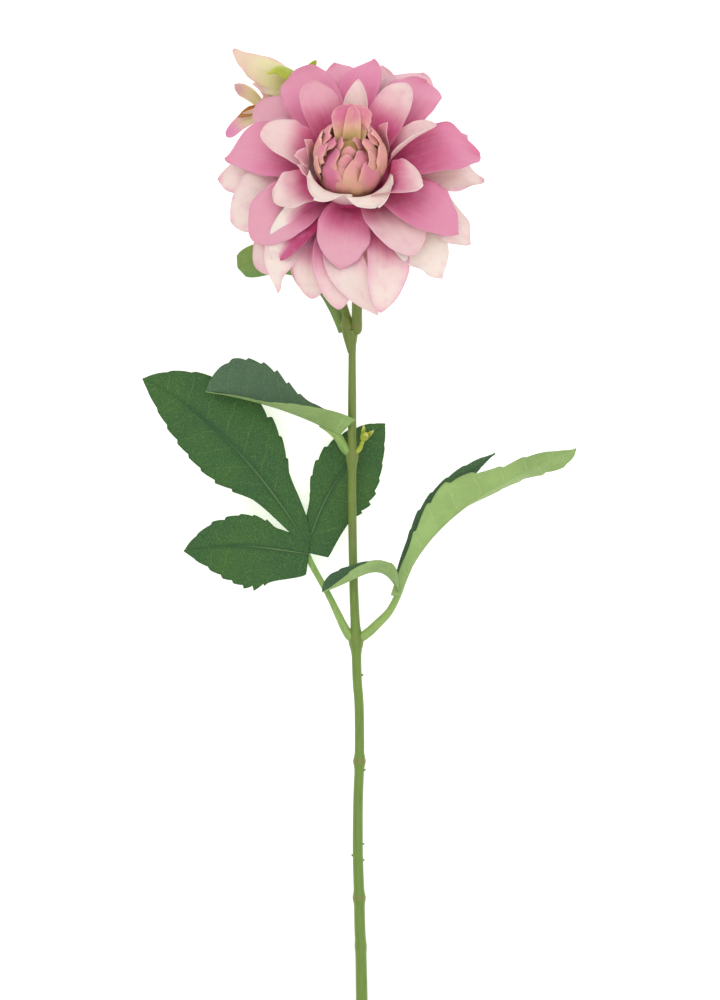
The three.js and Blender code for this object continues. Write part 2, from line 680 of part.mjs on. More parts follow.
// A toothed leaflet: both halves rise from a Bezier midrib as arcs, the teeth point forward.
function leaflet(options, grow = 0) {
  const p = { ...leafletDefaults, ...options };
  const stations = [];
  for (let k = 0; k < p.teeth; k += 1) {
    stations.push(k / p.teeth);
    if (p.tooth > 0) {
      stations.push((k + 0.85) / p.teeth);
    } else {
      stations.push((k + 0.35) / p.teeth, (k + 0.7) / p.teeth, (k + 0.9) / p.teeth);
    }
  }
  stations.push(1);
  const grid = stations.map((s) => {
    const row = [];
    for (let j = 0; j < 5; j += 1) {
      const q = -1 + j / 2;
      const a = Math.abs(q);
      const side = q < 0 ? 0 : 1;
      const along = clamp(s + p.slant * a * (1 - s) * smooth(0, 0.15, s), 0, 1);
      const [rib, ahead] = bezier(p.mid, along);
      const facing = mix(unit(p.face[0]), unit(p.face[1]), along);
      const normal = unit(sub(facing, mul(ahead, dot(facing, ahead))));
      const beside = cross(ahead, normal);
      const part = s * p.teeth - Math.floor(s * p.teeth + 1e-9);
      const saw = part < 0.8501 ? part / 0.85 : (1 - part) / 0.15;
      const widest = p.widest[side];
      const rise = Math.pow(Math.sin((Math.PI / 2) * Math.min(s / widest, 1)), p.full);
      const swell = p.neck[side] + (1 - p.neck[side]) * rise;
      const beyond = clamp((s - widest) / (1 - widest), 0, 1);
      const shape = s < widest ? swell : Math.pow(Math.max(1 - beyond * beyond, 0), p.tip[side]);
      const envelope = smooth(0.05, 0.25, s) * (1 - smooth(0.9, 1, s));
      let width = p.half[side] * shape * (1 + p.tooth * (saw - 0.5) * envelope * a * a * a);
      width = Math.max(width, 0.5);
      const tipFold = p.foldTip ? p.foldTip[side] : p.fold[side];
      const f0 = radians(p.fold[side] + (tipFold - p.fold[side]) * smooth(p.unfold[0], p.unfold[1], along));
      const f1 = Math.abs(p.curl[side]) < 0.1 ? 0.001 : radians(p.curl[side]);
      const sideways = ((Math.sin(f0 + f1 * a) - Math.sin(f0)) / f1) * width;
      const lift = (-(Math.cos(f0 + f1 * a) - Math.cos(f0)) / f1) * width;
      const point = add(rib, add(mul(beside, Math.sign(q) * sideways), mul(normal, lift)));
      const backward = q < 0 ? p.ear * a * a * (1 - smooth(0, 0.3, s)) : 0;
      row.push(sub(point, mul(ahead, backward)));
    }
    return row;
  });
  return blade(grid, leafThickness + 2 * grow);
}

const leaves = {
  leaf_left: {
    leaflets: [
      {
        mid: [[-23.1, 5.5, 9.3], [-36, 28, 12], [-64, 65, 14], [-95.7, 78.8, 7]],
        face: [[0.1, 0, 1], [-0.1, 0.1, 1]],
        half: [17.5, 21.5], fold: [12, 12], curl: [-25, -25], teeth: 10, widest: [0.45, 0.45],
        neck: [0.03, 0.12], full: 0.95,
      },
      {
        mid: [[-23.1, 1.8, 9.3], [-17.8, 25.1, 8], [-5.9, 42.7, 7], [11.7, 59, 6]],
        face: [[-0.1, 0, 1], [0.1, 0, 1]],
        half: [12.5, 18], fold: [8, 8], curl: [-18, -18], teeth: 8, widest: [0.5, 0.35],
        neck: [0.15, 0.55],
      },
      {
        mid: [[-22, 1.2, 9.6], [-38, 3.5, 12], [-55, 7.5, 11], [-77.4, 2.4, 6]],
        face: [[0, 0.1, 1], [0, 0, 1]],
        half: [18.5, 14], fold: [10, 12], curl: [-25, -25], teeth: 8, widest: [0.3, 0.42],
        neck: [0.5, 0.4],
      },
    ],
    stalks: [
      [[-1.1, -36.5, 12.1, 2.2], [-5.0, -33.5, 12.2, 2.0], [-12.9, -17.6, 10.5, 1.4],
        [-20.9, -3.1, 8.1, 1.4], [-24.6, 5.5, 7.7, 1.3], [-29.2, 12, 8.3, 1.1], [-33, 17.5, 8.7, 0.9]],
    ],
  },
  leaf_upper: {
    leaflets: [
      {
        mid: [[-8.5, 53.5, 16], [-22, 62, 20], [-45, 69.5, 21], [-67.4, 72.9, 17]],
        face: [[0, 0.7, 0.7], [0, 0.6, 0.8]],
        half: [13, 20], fold: [100, 18], foldTip: [58, 18], unfold: [-0.1, 0.65], curl: [0, -10],
        teeth: 8, widest: [0.12, 0.72], neck: [0.95, 0.4], full: 2.2, tip: [1.6, 0.55], ear: 0.8,
      },
    ],
    stalks: [
      [[-2.8, 45, 16.1, 2.2], [-6.2, 48.2, 16, 2.1], [-9, 52.8, 15.2, 1.9], [-13, 55.8, 15.6, 1.2],
        [-17, 58.2, 16.1, 0.9]],
    ],
  },
  leaf_right: {
    leaflets: [
      {
        mid: [[18, -17.5, 19], [29, 19.5, 24.5], [67.5, 35.5, 26], [95.8, 47.6, 18]],
        face: [[-0.45, 0.45, 0.7], [-0.2, 0.5, -0.85]],
        half: [8, 12.5], fold: [4, 98], foldTip: [15, 40], unfold: [0.6, 1], curl: [0, 10], teeth: 9,
        tooth: 0.13, slant: 0.05, widest: [0.85, 0.37], neck: [0.1, 0.35], full: 2.6, tip: [0.5, 1.2],
      },
      {
        mid: [[17.5, -15.5, 19.5], [9.8, 2.1, 22], [0.6, -10.3, 22.5], [-16, -15.4, 19]],
        face: [[0, 0.7, 0.7], [0, 0.7, 0.7]],
        half: [12, 7.5], fold: [72, 18], curl: [0, -20], teeth: 5, slant: 0, widest: [0.3, 0.85],
        neck: [0.5, 0.2], tip: [1.3, 0.45],
      },
      {
        mid: [[17.5, -16.5, 17.3], [21, 6, 13.5], [40, 31, 11], [60.5, 45.8, 8]],
        face: [[0, 0, 1], [0, 0, 1]],
        half: [7, 2.5], fold: [8, 8], curl: [-18, -18], teeth: 7, widest: [0.45, 0.5], neck: [0.3, 0.2],
        tip: [1.1, 1.1],
      },
    ],
    stalks: [
      [[-1.1, -36.5, 12.1, 2.1], [3, -34.5, 12.6, 2.1], [8.5, -29.5, 14.2, 2.0],
        [13.6, -24, 16.4, 1.7], [17.3, -17, 18, 1.5], [20, -10.5, 18.6, 1.2], [22.8, -4.5, 19.4, 0.9]],
    ],
  },
  bract_leaf: {
    leaflets: [
      {
        mid: [[-5.5, 105.2, 15], [-14, 122, 9.5], [-28, 140, 8], [-54, 130.5, 8]],
        face: [[0, 0, 1], [0, 0, 1]],
        half: [7, 7], fold: [5, 5], curl: [-10, -10], teeth: 3, tooth: 0, widest: [0.75, 0.75],
        neck: [0.3, 0.3], tip: [0.5, 0.5],
      },
    ],
    stalks: [
      [[-3, 100.5, 17.5, 1.3], [-5.2, 104.5, 15.2, 1.4], [-8.2, 109.5, 13.2, 0.9]],
    ],
  },
};

function leafBody(spec) {
  const bodies = spec.leaflets.map((options) => leaflet(options));
  for (const stalk of spec.stalks) {
    bodies.push(rod(through(stalk, 2), 7));
  }
  return mainPiece(fuse(bodies).subtract(stemBody(seatGap * 1.15)));
}

function axilBud() {
  const axis = [0.45, 0.75, 0.5];
  const bud = bloomFrame([2.4, 52.6, 18.6], axis, [1, 0, 0]);
  const heart = turned(bud, [[0, -1.6], [1.3, -1.2], [1.9, 0.4], [1.5, 2], [0, 3]], 8);
  const stalk = rod(through([
    [-2.4, 45.4, 16.6, 1.2], [0.3, 47.4, 17.2, 1.1], [1.5, 50, 17.9, 0.9], [2.5, 52.8, 18.8, 0.9],
  ], 1), 6);
  const shared = { root: [0.8, -1], rise: 30, cup: [60, 50, 30], point: 0.9, widest: 0.5, neck: 0.6 };
  const scales = [];
  for (let k = 0; k < 3; k += 1) {
    scales.push([120 * k + 20, 2.6 + 0.5 * scatter(k, 31), 4.4 + 0.6 * scatter(k, 32), 1.5, {}]);
  }
  const body = fuse([heart, stalk, ...ring(bud, shared, scales, 0, 4, 3, asDrawn)]);
  return mainPiece(body.subtract(stemBody(seatGap * 1.15)));
}

// ---------------------------------------------------------------- meshes
const finishes = {
  petal: { color: 0xdb8fae, roughness: 0.75 },
  centre: { color: 0xd99a8c, roughness: 0.75 },
  cream: { color: 0xefe3c2, roughness: 0.75 },
  sepal: { color: 0x8ea548, roughness: 0.6 },
  stem: { color: 0x7d9350, roughness: 0.5 },
  leaf: { color: 0x3f6b3c, roughness: 0.7 },
  paleLeaf: { color: 0x8fae5e, roughness: 0.65 },
};

function toMesh(name, body, finish) {
  const { vertProperties, triVerts, numProp } = body.getMesh();
  const geometry = new THREE.BufferGeometry();
  const positions = new Float32Array((vertProperties.length / numProp) * 3);
  for (let k = 0; k * numProp < vertProperties.length; k += 1) {
    positions.set(vertProperties.subarray(k * numProp, k * numProp + 3), k * 3);
  }
  geometry.setAttribute("position", new THREE.BufferAttribute(positions, 3));
  geometry.setIndex(new THREE.BufferAttribute(new Uint32Array(triVerts), 1));
  const material = new THREE.MeshStandardMaterial({ ...finishes[finish], metalness: 0 });
  const mesh = new THREE.Mesh(geometry, material);
  mesh.name = name;
  return mesh;
}

function group(name, children) {
  const out = new THREE.Group();
  out.name = name;
  out.add(...children);
  return out;
}

const dahlia = group("dahlia", [
  toMesh("stem", stemBody(), "stem"),
  group("main_bloom", [
    toMesh("main_bloom_petals", mainPetals(), "petal"),
    toMesh("main_bloom_centre", mainCentrePiece(), "centre"),
    toMesh("main_bloom_calyx", mainCalyx(), "sepal"),
  ]),
  group("side_bloom", [
    toMesh("side_bloom_petals", sidePetals(), "cream"),
    toMesh("side_bloom_calyx", sideCalyx(), "sepal"),
  ]),
  group("foliage", [
    toMesh("leaf_left", leafBody(leaves.leaf_left), "leaf"),
    toMesh("leaf_upper", leafBody(leaves.leaf_upper), "leaf"),
    toMesh("leaf_right", leafBody(leaves.leaf_right), "paleLeaf"),
    toMesh("bract_leaf", leafBody(leaves.bract_leaf), "paleLeaf"),
    toMesh("axil_bud", axilBud(), "sepal"),
  ]),
]);

export default dahlia;
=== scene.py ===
"""Dahlia: a cut flower laid down with its main bloom facing up.

Run as a script. The frame gives the part's solids; each operator below makes the fine pieces
that stand for one of them, or for a few of a kind. All tables are in millimetres, in the part's
own frame: +Y from the cut end to the blooms, +Z up from the table. The stage is in metres.
"""
from functools import reduce
from math import cos, pi, radians, sin

import bpy
import numpy as np
from bpy.props import FloatProperty, FloatVectorProperty, IntProperty, PointerProperty
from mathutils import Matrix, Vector


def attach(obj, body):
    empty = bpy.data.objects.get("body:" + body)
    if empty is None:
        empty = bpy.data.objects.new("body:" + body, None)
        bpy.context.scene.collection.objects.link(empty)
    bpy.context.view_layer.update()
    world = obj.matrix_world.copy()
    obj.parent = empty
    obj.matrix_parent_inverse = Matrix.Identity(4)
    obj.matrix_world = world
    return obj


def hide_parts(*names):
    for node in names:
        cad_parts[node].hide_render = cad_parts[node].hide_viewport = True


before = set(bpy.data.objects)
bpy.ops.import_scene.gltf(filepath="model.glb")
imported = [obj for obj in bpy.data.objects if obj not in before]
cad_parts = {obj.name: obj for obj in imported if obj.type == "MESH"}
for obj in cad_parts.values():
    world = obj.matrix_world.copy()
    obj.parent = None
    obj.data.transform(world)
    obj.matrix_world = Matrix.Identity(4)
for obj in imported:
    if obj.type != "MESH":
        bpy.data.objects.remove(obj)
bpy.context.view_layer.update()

bl_info = {
    "name": "Dahlia flower",
    "version": (1, 0, 0),
    "blender": (4, 5, 0),
    "location": "3D View > Sidebar > Dahlia",
    "description": "Builds a cut dahlia with layered petals, a side bloom and toothed leaves",
    "category": "Add Mesh",
}

MM = 0.001
BODY = "root"


# ------------------------------------------------------------------ numbers
def unit(v):
    """Vectors divided by their length."""
    v = np.asarray(v, float)
    return v / np.maximum(np.linalg.norm(v, axis=-1, keepdims=True), 1e-12)


def smooth(a, b, x):
    """0 before a, 1 after b, and 3t^2 - 2t^3 between."""
    t = np.clip((x - a) / (b - a), 0, 1)
    return t * t * (3 - 2 * t)


def scatter(i, k=0):
    """Seeded scatter in -1..1 for repeat i, draw k: the fraction of a large sine."""
    x = np.sin(i * 12.9898 + k * 78.233) * 43758.5453
    return 2 * (x - np.floor(x)) - 1


def colour(code):
    """A hex colour as linear light."""
    c = np.array([int(code[i:i + 2], 16) for i in (0, 2, 4)]) / 255
    return tuple(np.where(c <= 0.04045, c / 12.92, ((c + 0.055) / 1.055) ** 2.4))


def tint(dye, share):
    """A dye times a share, or times one share a channel, at most 1."""
    return tuple(np.minimum(np.array(dye) * share, 1.0))


# ------------------------------------------------------------------ shared sizes
MAIN_CENTRE = (-3.3, 165.0, 45.0)
MAIN_AXIS = (-0.03, 0.42, 0.91)
SIDE_CENTRE = (-28.0, 202.0, 10.5)
SIDE_AXIS = (-1.0, 0.1, 0.12)
# the closed middle is a superellipse turned about the main bloom's axis
MIDDLE_RADIUS = 17.0
MIDDLE_HEIGHT = 15.0
MIDDLE_HALF = 17.5
MIDDLE_POWER = 2.6
# heights along a bloom's own axis, and the gap that soft pieces keep from each other
RECEPTACLE_TOP = 3.0
RECEPTACLE_FOOT = -12.0
SIDE_FOOT = -3.0
SEAT_GAP = 0.3
HEART_FOOT = RECEPTACLE_TOP + SEAT_GAP
MAIN_CUP_TOP = RECEPTACLE_FOOT - SEAT_GAP
SIDE_CUP_TOP = SIDE_FOOT - SEAT_GAP
CUP_DEPTH = 3
# the joint of the stem from which the two compound leaves grow
LEAF_JOINT = (-1.1, -36.5, 12.1)
# lowest height of a petal's mid-surface, and how softly it is reached (mm squared)
TABLE = 0.36
TABLE_EASE = 1.5
SEPAL_THICKNESS = 0.6
BUD_THICKNESS = 0.4


def bloom_frame(centre, axis, reference):
    """Centre, across, up and axis of a bloom: across is the reference square to the axis."""
    along = unit(axis)
    across = unit(np.array(reference, float) - along * np.dot(along, reference))
    return np.array(centre, float), across, np.cross(along, across), along


MAIN = bloom_frame(MAIN_CENTRE, MAIN_AXIS, (1, 0, 0))
SIDE = bloom_frame(SIDE_CENTRE, SIDE_AXIS, (0, 1, 0))


# ------------------------------------------------------------------ sheets
# angles in degrees; root, flick, bow, hook and crease in mm; the waves in shares of the half width
PETAL = dict(
    root=(8, 0), rise=50, bulge=0.5, cup=(60, 30, 12), pinch=0, neck=0.35, widest=0.6, blunt=2.0,
    point=0.6, flick=0, bow=0, hook=0, lean=0, tilt=0, twist=0, ruffle=0, sway=0, crease=0.25,
    fine=0.03, frill=0.03, seed=0,
)
ROW_CROWDING = 1.5
NARROWEST = 0.05
FLATTEST = 0.001


def petal_rib(bloom, azimuth, reach, height, p, S):
    """Midrib of a petal, and the directions across it and out of its face.

    The midrib is a quadratic Bezier from the root to (reach, height) at the azimuth; bow adds half
    a sine sideways, and hook and flick bend the tip by a squared smooth step, sideways and towards
    the face. tilt and twist turn the blade about its midrib.
    """
    centre, across, up, axis = bloom
    phi, root_phi = radians(azimuth), radians(azimuth + p["lean"])
    out = cos(phi) * across + sin(phi) * up
    tangent = cos(phi) * up - sin(phi) * across
    root_out = cos(root_phi) * across + sin(root_phi) * up
    start = centre + p["root"][0] * root_out + p["root"][1] * axis
    end = centre + reach * out + height * axis
    rise = radians(p["rise"])
    first = sin(rise) * out + cos(rise) * axis
    middle = start + first * np.linalg.norm(end - start) * p["bulge"]
    rib = (1 - S) ** 2 * start + 2 * S * (1 - S) * middle + S * S * end
    along = unit((middle - start) * (1 - S) + (end - middle) * S)
    normal = unit(np.cross(along, tangent))
    facing = normal[0] @ axis * sin(rise) - normal[0] @ out * cos(rise)
    normal = normal * (-1 if facing < 0 else 1)
    beside = np.cross(along, normal)
    rib = rib + beside * (p["bow"] * np.sin(pi * S) + p["hook"] * smooth(0.8, 1, S) ** 2)
    rib = rib + normal * p["flick"] * smooth(0.6, 1, S) ** 2
    turn = np.radians(p["tilt"] + p["twist"] * S)
    side = beside * np.cos(turn) + normal * np.sin(turn)
    return rib, side, normal * np.cos(turn) - beside * np.sin(turn)


def petal_waves(half, p, S, q):
    """Height of a petal's waves over its face, and the frill of its margin.

    The sway is one slow sine, ruffle and fine are sines of s that grow with |q|, and the crease is
    a Gaussian furrow along the midrib with a fainter one on each side. The frill is two quick
    sines, grows towards the tip and lifts the margin by |q|^4.
    """
    a, hand = np.abs(q), np.sign(q)
    sway_phase, ruffle_phase, fine_phase, frill_phase = (scatter(p["seed"], k) * pi for k in (2, 1, 5, 7))
    sway = np.sin(2.2 * pi * S + 1.3 * q + sway_phase) * smooth(0.15, 0.5, S)
    ruffle = np.sin(2 * pi * (1.6 * S + 0.25 * hand) + ruffle_phase) * smooth(0.2, 0.6, S) * a ** 2.2
    fine = np.sin(2 * pi * (3.7 * S + 0.4 * hand) + fine_phase) * smooth(0.3, 0.7, S) * a ** 3
    frill_phase = frill_phase + 2.2 * hand
    frill = np.sin(2 * pi * 4.3 * S + frill_phase) + 0.4 * np.sin(2 * pi * 6.1 * S - frill_phase)
    frill = p["frill"] * smooth(0.3, 0.75, S) * frill
    furrow = np.exp(-(q / 0.1) ** 2) * np.sin(pi * S)
    furrow = furrow + 0.35 * np.exp(-((a - 0.45) / 0.12) ** 2) * np.sin(pi * S) ** 2
    waves = p["sway"] * sway + p["ruffle"] * ruffle + p["fine"] * fine + frill * a ** 4
    return half * waves - p["crease"] * furrow, frill


def petal_sheet(bloom, azimuth, reach, height, half, grid, **own):
    """Mid-surface of a petal over s (root to tip) and q (-1..1 across); grid is (rows, columns).

    Rows are crowded towards the tip. Every cross-section is a circular arc of half-angle cup, which
    pinch closes at the tip, with the petal's waves on it. Its half width swells from neck as a
    power of a sine up to widest and closes as (1 - x^blunt)^point; the frill cuts into it by |q|^3.
    """
    p = {**PETAL, **own}
    rows, columns = grid
    s = 1 - (1 - np.linspace(0, 1, rows)) ** ROW_CROWDING
    S, q = s[:, None], np.linspace(-1, 1, columns)[None, :]
    rib, side, face = petal_rib(bloom, azimuth, reach, height, p, S)
    grow = p["neck"] + (1 - p["neck"]) * np.sin(pi / 2 * np.minimum(S / p["widest"], 1)) ** 1.2
    beyond = np.clip((S - p["widest"]) / (1 - p["widest"]), 0, 1)
    fade = np.maximum(1 - beyond ** p["blunt"], 0) ** p["point"]
    width = half * grow * np.maximum(fade, NARROWEST)
    hollow = np.radians(np.interp(S, (0, 0.5, 1), p["cup"]) + p["pinch"] * smooth(0.75, 1, S))
    hollow = np.maximum(hollow, FLATTEST)
    waves, frill = petal_waves(half, p, S, q)
    lift = (1 - np.cos(hollow * q)) / hollow * width + waves
    sideways = np.sin(hollow * q) / hollow * width * (1 + 0.35 * np.abs(q) ** 3 * frill)
    sheet = rib[:, None] + side[:, None] * sideways[..., None] + face[:, None] * lift[..., None]
    return sheet, s, q[0]


def rest_on_table(sheet):
    """Heights eased so that nothing passes below the table: a hyperbola over the height."""
    z = sheet[..., 2] - TABLE
    eased = TABLE + 0.5 * (z + np.sqrt(z * z + TABLE_EASE))
    return np.concatenate([sheet[..., :2], eased[..., None]], -1)


def middle_radius(h):
    """Radius of the closed middle at a height: a superellipse about its own mid-height."""
    x = np.clip(np.abs((h - MIDDLE_HEIGHT) / MIDDLE_HALF), 0, 1)
    return MIDDLE_RADIUS * (1 - x ** MIDDLE_POWER) ** (1 / MIDDLE_POWER)


def clear_middle(sheet, side, margin):
    """Points eased out of the closed middle (side 1) or into it (side -1), along its radius.

    The radius passes the wall as a hyperbola. Outside, the wall opens over the lowest heights, and
    points below the middle's foot stay where they are.
    """
    centre, _, _, axis = MAIN
    away = sheet - centre
    h = away @ axis
    flat = away - h[..., None] * axis
    r = np.maximum(np.linalg.norm(flat, axis=-1), 1e-6)
    foot, open_height, least = -1, 2.6, 0.5
    if side > 0:
        wall = middle_radius(h) * smooth(foot, open_height, h) + margin
    else:
        wall = np.maximum(middle_radius(h) - margin, least)
    x = side * (r - wall)
    moved = wall + side * 0.5 * (x + np.sqrt(x * x + 1))
    if side > 0:
        moved = np.where(h < foot, r, moved)
    return centre + h[..., None] * axis + flat * (moved / r)[..., None]


def bezier(points, s):
    """Cubic Bezier and its unit direction at each s."""
    a, b, c, d = np.asarray(points, float)
    s = s[..., None]
    r = 1 - s
    at = a * r ** 3 + b * 3 * s * r * r + c * 3 * s * s * r + d * s ** 3
    return at, unit((b - a) * r * r + (c - b) * 2 * s * r + (d - c) * s * s)


# a pair of numbers is for the left and the right half of a leaflet
LEAFLET = dict(
    fold=(10, 10), fold_tip=None, curl=(-20, -20), teeth=8, tooth=0.09, widest=0.42, neck=0.15, full=1,
    tip=0.9, slant=0.22, wave=0.3, relief=0.25, unfold=(0, 1), ear=0, seed=0,
)
LEAFLET_COLUMNS = 25
LEAFLET_NARROWEST = 0.4
# where the rows lie in a tooth, and where the tooth turns back
TOOTH_ROWS = np.array([0, 0.1, 0.2, 0.3, 0.36, 0.43, 0.5, 0.6, 0.7, 0.8, 0.86, 0.93])
TOOTH_TURN = 0.85
# keeps a row that lies on the edge between two teeth in the second one
EDGE_GUARD = 1e-9


def both(left, value):
    """One value for the whole leaflet, or a pair: left half, right half."""
    return np.where(left, *value) + 0.0 if isinstance(value, tuple) else value + 0.0 * left


def leaflet_width(half, p, S, A, left):
    """Half width of a leaflet, its outline without teeth, and the place between two side veins.

    The half width is a power of a sine up to widest, then (1 - x^2)^tip, times a saw in s that
    grows with |q|^3: the teeth point forward, half a tooth apart on the two sides, each of its own
    depth.
    """
    widest, neck = both(left, p["widest"]), both(left, p["neck"])
    step = S * p["teeth"] + np.where(left, 0.5, 0)
    tooth = np.floor(step + EDGE_GUARD)
    part = step - tooth
    rising = (np.maximum(part, 0) / TOOTH_TURN) ** 0.85
    saw = np.where(part < TOOTH_TURN + 1e-4, rising, (1 - part) / (1 - TOOTH_TURN))
    deep = p["tooth"] * (1 + 0.6 * scatter(tooth + left * 31 + p["seed"] * 7, 3))
    swell = neck + (1 - neck) * np.sin(pi / 2 * np.minimum(S / widest, 1)) ** p["full"]
    beyond = np.clip((S - widest) / (1 - widest), 0, 1)
    shape = np.where(S < widest, swell, np.maximum(1 - beyond ** 2, 0) ** both(left, p["tip"]))
    toothed = smooth(0.05, 0.25, S) * (1 - smooth(0.9, 1, S))
    width = both(left, half) * shape * (1 + deep * (saw - 0.5) * toothed * A ** 3)
    return np.maximum(width, LEAFLET_NARROWEST), shape, (part + 1 - TOOTH_TURN) % 1.0


def leaflet_sheet(mid, face, half, **own):
    """Mid-surface of a toothed leaflet over s (base to tip) and q (-1..1 across).

    The midrib is a cubic Bezier; both halves rise from it as circular arcs whose fold changes from
    base to tip, and slant draws their points towards the tip. Between side veins the blade swells
    by a squared sine, it dips at the midrib, one slow sine waves its margins by q^2, and ear draws
    the left half back at the base.
    """
    p = {**LEAFLET, **own}
    s = np.concatenate([(np.arange(p["teeth"])[:, None] + TOOTH_ROWS).ravel() / p["teeth"], [1.0]])
    S, Q = np.meshgrid(s, np.linspace(-1, 1, LEAFLET_COLUMNS), indexing="ij")
    A, left = np.abs(Q), Q < 0
    along = np.clip(S + p["slant"] * A * (1 - S) * smooth(0, 0.15, S), 0, 1)
    rib, ahead = bezier(mid, along)
    facing = unit(face[0]) * (1 - along[..., None]) + unit(face[1]) * along[..., None]
    normal = unit(facing - ahead * np.sum(facing * ahead, -1, keepdims=True))
    beside = np.cross(ahead, normal)
    width, shape, between = leaflet_width(half, p, S, A, left)
    base_fold, tip_fold = both(left, p["fold"]), both(left, p["fold_tip"] or p["fold"])
    fold = np.radians(base_fold + (tip_fold - base_fold) * smooth(*p["unfold"], along))
    curl = np.radians(both(left, p["curl"]))
    curl = np.where(np.abs(curl) < 2 * FLATTEST, FLATTEST, curl)
    sideways = (np.sin(fold + curl * A) - np.sin(fold)) / curl * width
    lift = -(np.cos(fold + curl * A) - np.cos(fold)) / curl * width
    relief = p["relief"] * np.clip(shape * 2, 0, 1)
    lift = lift + relief * np.sin(pi * between) ** 2 * np.sin(pi * A)
    lift = lift - 0.6 * relief * np.exp(-(A / 0.05) ** 2)
    wave = np.sin(2 * pi * (2.2 * S + 0.3 * np.sign(Q)) + scatter(p["seed"]) * pi)
    lift = lift + p["wave"] * wave * A ** 2 * shape
    sheet = rib + beside * (np.sign(Q) * sideways)[..., None] + normal * lift[..., None]
    backward = p["ear"] * np.where(left, 1, 0) * A ** 2 * (1 - smooth(0, 0.3, S))
    return sheet - ahead * backward[..., None], s, Q[0]


# ------------------------------------------------------------------ closed bodies
def sheet_normals(sheet):
    """Unit normals of a grid: its direction along s crossed with its direction along q."""
    return unit(np.cross(np.gradient(sheet, axis=0), np.gradient(sheet, axis=1)))


def closed_blade(sheet, thickness, edge=0.45):
    """A sheet given thickness, thinner at its margins by |q|^4: corners, quads, under (1 = back)."""
    rows, columns = sheet.shape[:2]
    normal = sheet_normals(sheet)
    q = np.linspace(-1, 1, columns)
    offset = normal * (thickness / 2 * (1 - (1 - edge) * np.abs(q) ** 4))[None, :, None]
    corners = np.concatenate([(sheet + offset).reshape(-1, 3), (sheet - offset).reshape(-1, 3)])
    i = np.arange(rows * columns).reshape(rows, columns)
    a, b, c, d = i[:-1, :-1], i[1:, :-1], i[1:, 1:], i[:-1, 1:]
    count = rows * columns
    upper = np.stack([a, b, c, d], -1).reshape(-1, 4)
    lower = np.stack([a, d, c, b], -1).reshape(-1, 4) + count
    rim = np.concatenate([i[:, 0], i[-1, 1:], i[-2::-1, -1], i[0, -2:0:-1]])
    after = np.roll(rim, -1)
    wall = np.stack([after, rim, rim + count, after + count], -1)
    under = np.repeat([1.0, 0.0], count)
    return corners, np.concatenate([upper, lower, wall]), under


def arc_lengths(sheet):
    """Distances on a sheet, in millimetres: along from its root, and across from its midrib."""
    along = np.cumsum(np.linalg.norm(np.diff(sheet, axis=0, prepend=sheet[:1]), axis=-1), axis=0)
    across = np.cumsum(np.linalg.norm(np.diff(sheet, axis=1, prepend=sheet[:, :1]), axis=-1), axis=1)
    return along, across - across[:, sheet.shape[1] // 2][:, None]


def through(knots, steps):
    """Catmull-Rom curve through knots of any length, with steps spans between two knots."""
    knots = np.asarray(knots, float)
    k = np.concatenate([[2 * knots[0] - knots[1]], knots, [2 * knots[-1] - knots[-2]]])
    a, b, c, d = k[:-3, None], k[1:-2, None], k[2:-1, None], k[3:, None]
    t = (np.arange(steps) / steps)[None, :, None]
    square, cube = 2 * a - 5 * b + 4 * c - d, 3 * b - a - 3 * c + d
    curve = 0.5 * (2 * b + (c - a) * t + square * t ** 2 + cube * t ** 3)
    return np.concatenate([curve.reshape(-1, knots.shape[1]), knots[-1:]])


def ring_faces(rings, around):
    """Faces of a stack of rings of corners; the two corners after them close its ends."""
    i = np.arange(rings * around).reshape(rings, around)
    j = np.roll(i, -1, axis=1)
    wall = np.stack([i[:-1], j[:-1], j[1:], i[1:]], -1).reshape(-1, 4)
    first = np.stack([np.full(around, i.size), j[0], i[0]], -1)
    last = np.stack([np.full(around, i.size + 1), i[-1], j[-1]], -1)
    return wall.tolist() + first.tolist() + last.tolist()


def rod_body(stations, around):
    """A rod along [x, y, z, radius] stations: circles square to its path, closed by flat ends."""
    stations = np.asarray(stations, float)
    path, radius = stations[:, :3], stations[:, 3]
    along = unit(np.gradient(path, axis=0))
    side = np.zeros_like(path)
    side[0] = unit(np.array([0, 0, 1.0]) - along[0] * along[0][2])
    for k in range(1, len(path)):
        side[k] = unit(side[k - 1] - along[k] * (side[k - 1] @ along[k]))
    other = np.cross(along, side)
    angle = np.arange(around) / around * 2 * pi
    ring = (path[:, None] + other[:, None] * (np.cos(angle) * radius[:, None])[..., None]
            + side[:, None] * (np.sin(angle) * radius[:, None])[..., None])
    corners = np.concatenate([ring.reshape(-1, 3), path[:1], path[-1:]])
    return corners, ring_faces(len(path), around)


def turned_body(bloom, profile, around):
    """A profile of [radius, height] turned about a bloom's axis; both ends close at a pole."""
    centre, across, up, axis = bloom
    profile = np.asarray(profile, float)
    angle = np.arange(around) / around * 2 * pi
    ray = np.cos(angle)[:, None] * across + np.sin(angle)[:, None] * up
    inner = profile[1:-1]
    ring = centre + inner[:, None, :1] * ray[None] + (inner[:, 1:2] * axis)[:, None]
    poles = centre + profile[[0, -1], 1:] * axis
    corners = np.concatenate([ring.reshape(-1, 3), poles])
    return corners, ring_faces(len(inner), around)


# millimetres of cloth in one unit of the cloth map
CLOTH_UNIT = 100


